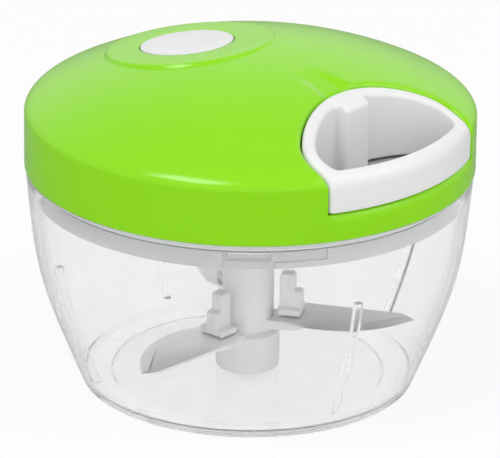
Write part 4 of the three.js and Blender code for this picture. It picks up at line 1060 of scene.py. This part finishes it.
def make_blade(place):
    """A flat blade with a straight back, whose belly is ground to an edge from both faces."""
    points = [Vector(p) for p in BLADE_BACK]
    points += [quadratic(*(Vector(p) for p in BLADE_BELLY), k / 40) for k in range(41)]
    loops = [[], [], [], []]
    for i, here in enumerate(points):
        before = (here - points[i - 1]).normalized()
        after = (points[(i + 1) % len(points)] - here).normalized()
        across = Vector((before.y + after.y, -before.x - after.x)).normalized()
        across /= max(across.dot(Vector((before.y, -before.x))), 0.6)
        ground = i >= len(BLADE_BACK)
        inner = here + across * (BLADE_GROUND if ground else BLADE_CHAMFER)
        low = BLADE_EDGE if ground else BLADE_CHAMFER
        heights = (0, low, BLADE_THICKNESS - low, BLADE_THICKNESS)
        for loop, (x, y), height in zip(loops, (inner, here, here, inner), heights):
            loop.append((x, y, BLADE_LEVELS[place] + height))
    hole = moved(cylinder(CLAMP_HOLE_RADIUS, 0, 60), shift(CLAMP_PIN, 0, 0))
    bm = moved(worked(stacked(loops), (CUT, hole)), turn(BLADE_ANGLES[place]))
    piece(bm, "ground_blade_" + place, "rotor", blade_steel_with_painted_reflection[place], ["blade_" + place], 12)


def make_clamp(place):
    """A plate over the blade's root with a stepped fin above it and a pin below."""
    bottom = BLADE_LEVELS[place] + CLAMP_ABOVE_BLADE
    outline = rectangle(CLAMP_START, CLAMP_END, -CLAMP_HALF, CLAMP_HALF)
    plate = slab(outline, bottom, bottom + CLAMP_THICKNESS, 0.4)
    fin = slab(soft_path(CLAMP_FIN, closed=True, steps=5), -CLAMP_FIN_HALF, CLAMP_FIN_HALF, 0.55)
    fin = moved(fin, shift(0, 0, bottom) @ turn(90, "X"))
    foot, top = bottom - CLAMP_PIN_LENGTH, bottom + 1
    pin = spun(soft_path([(0, foot), (CLAMP_PIN_RADIUS, foot, 0.3), (CLAMP_PIN_RADIUS, top), (0, top)]), 32)
    bm = worked(plate, (JOIN, fin), (JOIN, moved(pin, shift(CLAMP_PIN, 0, 0))))
    bm = moved(bm, turn(BLADE_ANGLES[place]))
    piece(bm, "clamp_" + place, "rotor", rotor_white, ["blade_clamp_" + place])


def make_turned(name, body, finish, node, profile, segments=64, closed=True, matrix=Matrix()):
    """Pivot pin, bush, seal or eyelet, turned from its profile."""
    bm = spun(soft_path(profile, closed=closed), segments, closed=closed)
    piece(moved(bm, matrix), name, body, finish, [node])


# Chassis and what it carries

def make_chassis():
    """The white plug, deck and sleeve, with the plinth under the handle, ribs, posts and lug slots."""
    plinth = slab(half_moon(PLINTH_INSET, PLINTH_RIM, HANDLE_CORNER, PLINTH_COUNTS), IN_DECK, PLINTH_TOP, 0.5)
    plinth = worked(plinth, (KEEP, spun(PLINTH_KEPT, 144, start=0.7)))
    hollow = slab(half_moon(HOLLOW_INSET, HOLLOW_RIM, HANDLE_CORNER, PLINTH_COUNTS), BELOW_DECK, HOLLOW_TOP)
    hollow = worked(hollow, (KEEP, cylinder(HOLLOW_RADIUS, BELOW_DECK, HOLLOW_TOP, 144)))
    steps = [(JOIN, plinth), (CUT, hollow)]
    for angle in LUG_ANGLES:
        for start, sweep, low in SLOTS:
            steps.append((CUT, spun(rectangle(*SLOT_RADII, low, SLOT_TOP), 14, True, angle + start, sweep)))
    for angle in DECK_RIB_ANGLES:
        rib = slab(rectangle(*DECK_RIB), BELOW_DECK, IN_DECK, 0.3)
        steps.append((JOIN, moved(rib, turn(angle))))
    for angle in POST_ANGLES:
        place = turn(angle) @ shift(POST_CIRCLE, 0, 0)
        hole = cylinder(PILOT_RADIUS, POST_HOLE_BOTTOM, 90, start=3.1)
        steps += [(JOIN, moved(spun(soft_path(POST), 48), place)), (CUT, moved(hole, place))]
    for angle in LID_BOSS_ANGLES:
        hole = moved(cylinder(PILOT_RADIUS, BELOW_DECK, 66), turn(angle) @ shift(LID_BOSS_CIRCLE, 0, 0))
        steps.append((CUT, hole))
    bm = worked(spun(soft_path(CHASSIS, closed=True), 240, closed=True), *steps)
    piece(bm, "plug_and_deck", "lid", plug_white_painted_shade, ["chassis"])


def make_screw(kind, number, length, matrix):
    """A slotted screw whose head's underside is at zero and whose thread runs up."""
    path = soft_path(SCREW_HEAD)
    for k in range(int((length - 2) / SCREW_PITCH)):
        base = 0.6 + k * SCREW_PITCH
        path += [(SCREW_CORE, base), (SCREW_THREAD, base + 0.3)]
        path += [(SCREW_THREAD, base + 0.42), (SCREW_CORE, base + 0.72)]
    path += [(1.0, length - 1.2), (0.2, length), (0, length)]
    slot = slab(rectangle(-4, 4, -0.4, 0.4), -3.0, -0.9)
    bm = moved(worked(spun(path, 40), (CUT, slot)), matrix)
    node = "%s_screw_%d" % (kind, number)
    piece(bm, "slotted_" + node, "lid", steel, [node])


def make_screws():
    for kind, angles, radius, (length, height), tip in (
        ("lid", LID_BOSS_ANGLES, LID_BOSS_CIRCLE, LID_SCREW, 0),
        ("bridge", POST_ANGLES, POST_CIRCLE, BRIDGE_SCREW, 180),
    ):
        for k, angle in enumerate(angles, 1):
            make_screw(kind, k, length, turn(angle) @ shift(radius, 0, height) @ turn(tip, "X"))


def make_spring():
    """A flat strip wound in six open turns, its inner end turned in to the arbor."""
    steps = SPRING_TURNS * 64
    points = [Vector((SPRING_INNER - 1.7, 0)), Vector((SPRING_INNER - 0.9, 0))]
    for k in range(steps + 1):
        angle = 2 * pi * SPRING_TURNS * k / steps
        radius = SPRING_INNER + (SPRING_OUTER - SPRING_INNER) * k / steps
        points.append(Vector((radius * cos(angle), radius * sin(angle))))
    sides = [[], []]
    for i, point in enumerate(points):
        way = (points[min(i + 1, len(points) - 1)] - points[max(i - 1, 0)]).normalized()
        for side, sign in zip(sides, (1, -1)):
            side.append(tuple(point + Vector((way.y, -way.x)) * SPRING_HALF_STRIP * sign))
    bm = slab([*sides[0], *reversed(sides[1])], SPRING_BOTTOM, SPRING_TOP, 0.06, 2)
    piece(bm, "spiral_spring", "lid", spring_steel, ["return_spring"], 40)


# Stage, lamps and camera

FLOOR_SIZE = 4.0
FLOOR_GREY = 0.86
FLOOR_SHOWN = 0.86
WORLD_LIGHT = 0.76
WORLD_GREYS = [(0.42, 0.35), (0.62, 1.0), (0.75, 1.05), (0.93, 0.6)]
CAMERA_AZIMUTH = 42.0
CAMERA_ELEVATION = 21.3
CAMERA_DISTANCE = 1.5
CAMERA_ROLL = 0.75
TARGET = Vector((0, 0, 0.062))
FOCAL_PIXELS = 5386.5
PICTURE = (500, 458)
TARGET_PIXEL = (249.9, 166.5)

# Name, degrees to the camera's right, elevation, distance, size, power, seen in mirrors
LAMPS = [
    ("softbox_high_left", -49, 64, 1.3, (0.55, 0.4), 6.0, True),
    ("softbox_right", 75, 38, 1.6, (0.8, 0.8), 4, True),
    ("strip_right", 68, 59, 1.3, (0.32, 0.12), 1.1, True),
    ("fill_front", 4, 12, 1.6, (1.1, 0.7), 3.9, False),
]


def seen_directly(tree, amount):
    """A factor for rays from the camera and for those that mirrors and clear pieces send on."""
    path = add_node(tree, "LightPath").outputs
    total = path["Is Camera Ray"]
    for name in ("Is Glossy Ray", "Is Transmission Ray"):
        total = combined(tree, "ADD", total, path[name], clamped=True)
    return ranged(tree, total, 0.0, 1.0, 0.0, amount)


def make_stage():
    """The pale floor. It lights matt pieces and isn't mirrored in glossy ones."""
    floor = bmesh.new()
    ops.create_grid(floor, x_segments=1, y_segments=1, size=FLOOR_SIZE)
    obj = placed("floor", as_mesh(floor, "floor"))
    material = bpy.data.materials.new("pale_floor")
    tree = cleared(material)
    output = add_node(tree, "OutputMaterial")
    matt = add_node(tree, "BsdfDiffuse", Color=(FLOOR_GREY, FLOOR_GREY, FLOOR_GREY, 1))
    glow = add_node(tree, "Emission")
    mix = blended(tree, seen_directly(tree, FLOOR_SHOWN), matt, glow)
    tree.links.new(mix.outputs[0], output.inputs["Surface"])
    obj.data.materials.append(material)
    obj.visible_glossy = False


def make_world():
    """A world that looks plain, lights evenly and mirrors as darker near the horizon and overhead."""
    world = bpy.data.worlds.new("studio")
    bpy.context.scene.world = world
    tree = cleared(world)
    output = add_node(tree, "OutputWorld")
    direct = add_node(tree, "Background")
    light = add_node(tree, "Background", Strength=WORLD_LIGHT)
    glossy = add_node(tree, "Background")
    parts = add_node(tree, "SeparateXYZ")
    tree.links.new(add_node(tree, "TexCoord").outputs["Generated"], parts.inputs[0])
    ramp = add_node(tree, "ValToRGB")
    stops = ramp.color_ramp.elements
    for position, _ in WORLD_GREYS[1:-1]:
        stops.new(position)
    stops[0].position, stops[-1].position = WORLD_GREYS[0][0], WORLD_GREYS[-1][0]
    for stop, (_, grey) in zip(stops, WORLD_GREYS):
        stop.color = (grey, grey, grey, 1)
    tree.links.new(ranged(tree, parts.outputs["Z"], -1.0, 1.0), ramp.inputs[0])
    tree.links.new(ramp.outputs[0], glossy.inputs["Color"])
    path = add_node(tree, "LightPath").outputs
    lit = blended(tree, path["Is Glossy Ray"], light, glossy)
    seen = combined(tree, "ADD", path["Is Camera Ray"], path["Is Transmission Ray"], clamped=True)
    tree.links.new(blended(tree, seen, lit, direct).outputs[0], output.inputs["Surface"])


def away_from(azimuth, elevation):
    """The direction from the target to a place, the azimuth counted from the front."""
    a, e = radians(azimuth), radians(elevation)
    return Vector((sin(a) * cos(e), -cos(a) * cos(e), sin(e)))


def make_camera():
    back = away_from(CAMERA_AZIMUTH, CAMERA_ELEVATION)
    level = UP.cross(back).normalized()
    upright = back.cross(level)
    roll = radians(CAMERA_ROLL)
    right = level * cos(roll) + upright * sin(roll)
    top = upright * cos(roll) - level * sin(roll)
    aside = (TARGET_PIXEL[0] - PICTURE[0] / 2) / FOCAL_PIXELS
    above = (PICTURE[1] / 2 - TARGET_PIXEL[1]) / FOCAL_PIXELS
    back = (back + right * aside + top * above).normalized()
    right = top.cross(back).normalized()
    top = back.cross(right)
    data = bpy.data.cameras.new("camera")
    data.sensor_width = 36.0
    data.lens = FOCAL_PIXELS * data.sensor_width / PICTURE[0]
    data.clip_start, data.clip_end = 0.05, 50.0
    camera = placed("camera", data)
    place = TARGET + away_from(CAMERA_AZIMUTH, CAMERA_ELEVATION) * CAMERA_DISTANCE
    camera.matrix_world = shift(*place) @ Matrix((right, top, back)).transposed().to_4x4()
    bpy.context.scene.camera = camera


def make_lamps():
    for name, right, elevation, distance, size, power, mirrored in LAMPS:
        data = bpy.data.lights.new(name, "AREA")
        data.shape = "RECTANGLE"
        data.size, data.size_y = size
        data.energy = power
        lamp = placed(name, data)
        away = away_from(CAMERA_AZIMUTH + right, elevation)
        lamp.location = TARGET + away * distance
        lamp.rotation_mode = "QUATERNION"
        lamp.rotation_quaternion = away.to_track_quat("Z", "Y")
        lamp.visible_glossy = mirrored


# Making

make_camera()
make_world()
make_stage()
make_lamps()
make_bowl()
make_lid()
make_platform()
make_disc()
make_handle()
make_knot_cap()
make_winding()
make_lead()
make_stretch()
make_tail()
make_knot()
make_column()
for blade in BLADE_LEVELS:
    make_blade(blade)
    make_clamp(blade)
make_turned("turned_pin", "bowl", steel, "pivot_pin", PIVOT_PIN, closed=False)
make_turned("turned_bush", "rotor", nylon, "column_bush", BUSH)
make_chassis()
make_turned("soft_seal", "lid", silicone, "seal_ring", SEAL, 240)
make_turned("pressed_eyelet", "lid", steel, "cord_guide", EYELET, matrix=on_cord(0))
make_screws()
make_spring()

# The imported solids take the finish of their slot, and each blade its own steel, whose tone holds painted
# reflection
blades = {"blade_" + place: finish for place, finish in blade_steel_with_painted_reflection.items()}
looks = {finish.slot: finish for finish in (clear, green, white, nylon, steel, silicone, cord)}
for row in frame["record"]["subparts"]:
    node = frame["nodes"][row["node"]]
    finish = blades.get(node.name, looks[row["material_slot"]])
    node.data.materials.clear()
    node.data.materials.append(finish.material)

bpy.context.scene.view_settings.view_transform = "Standard"
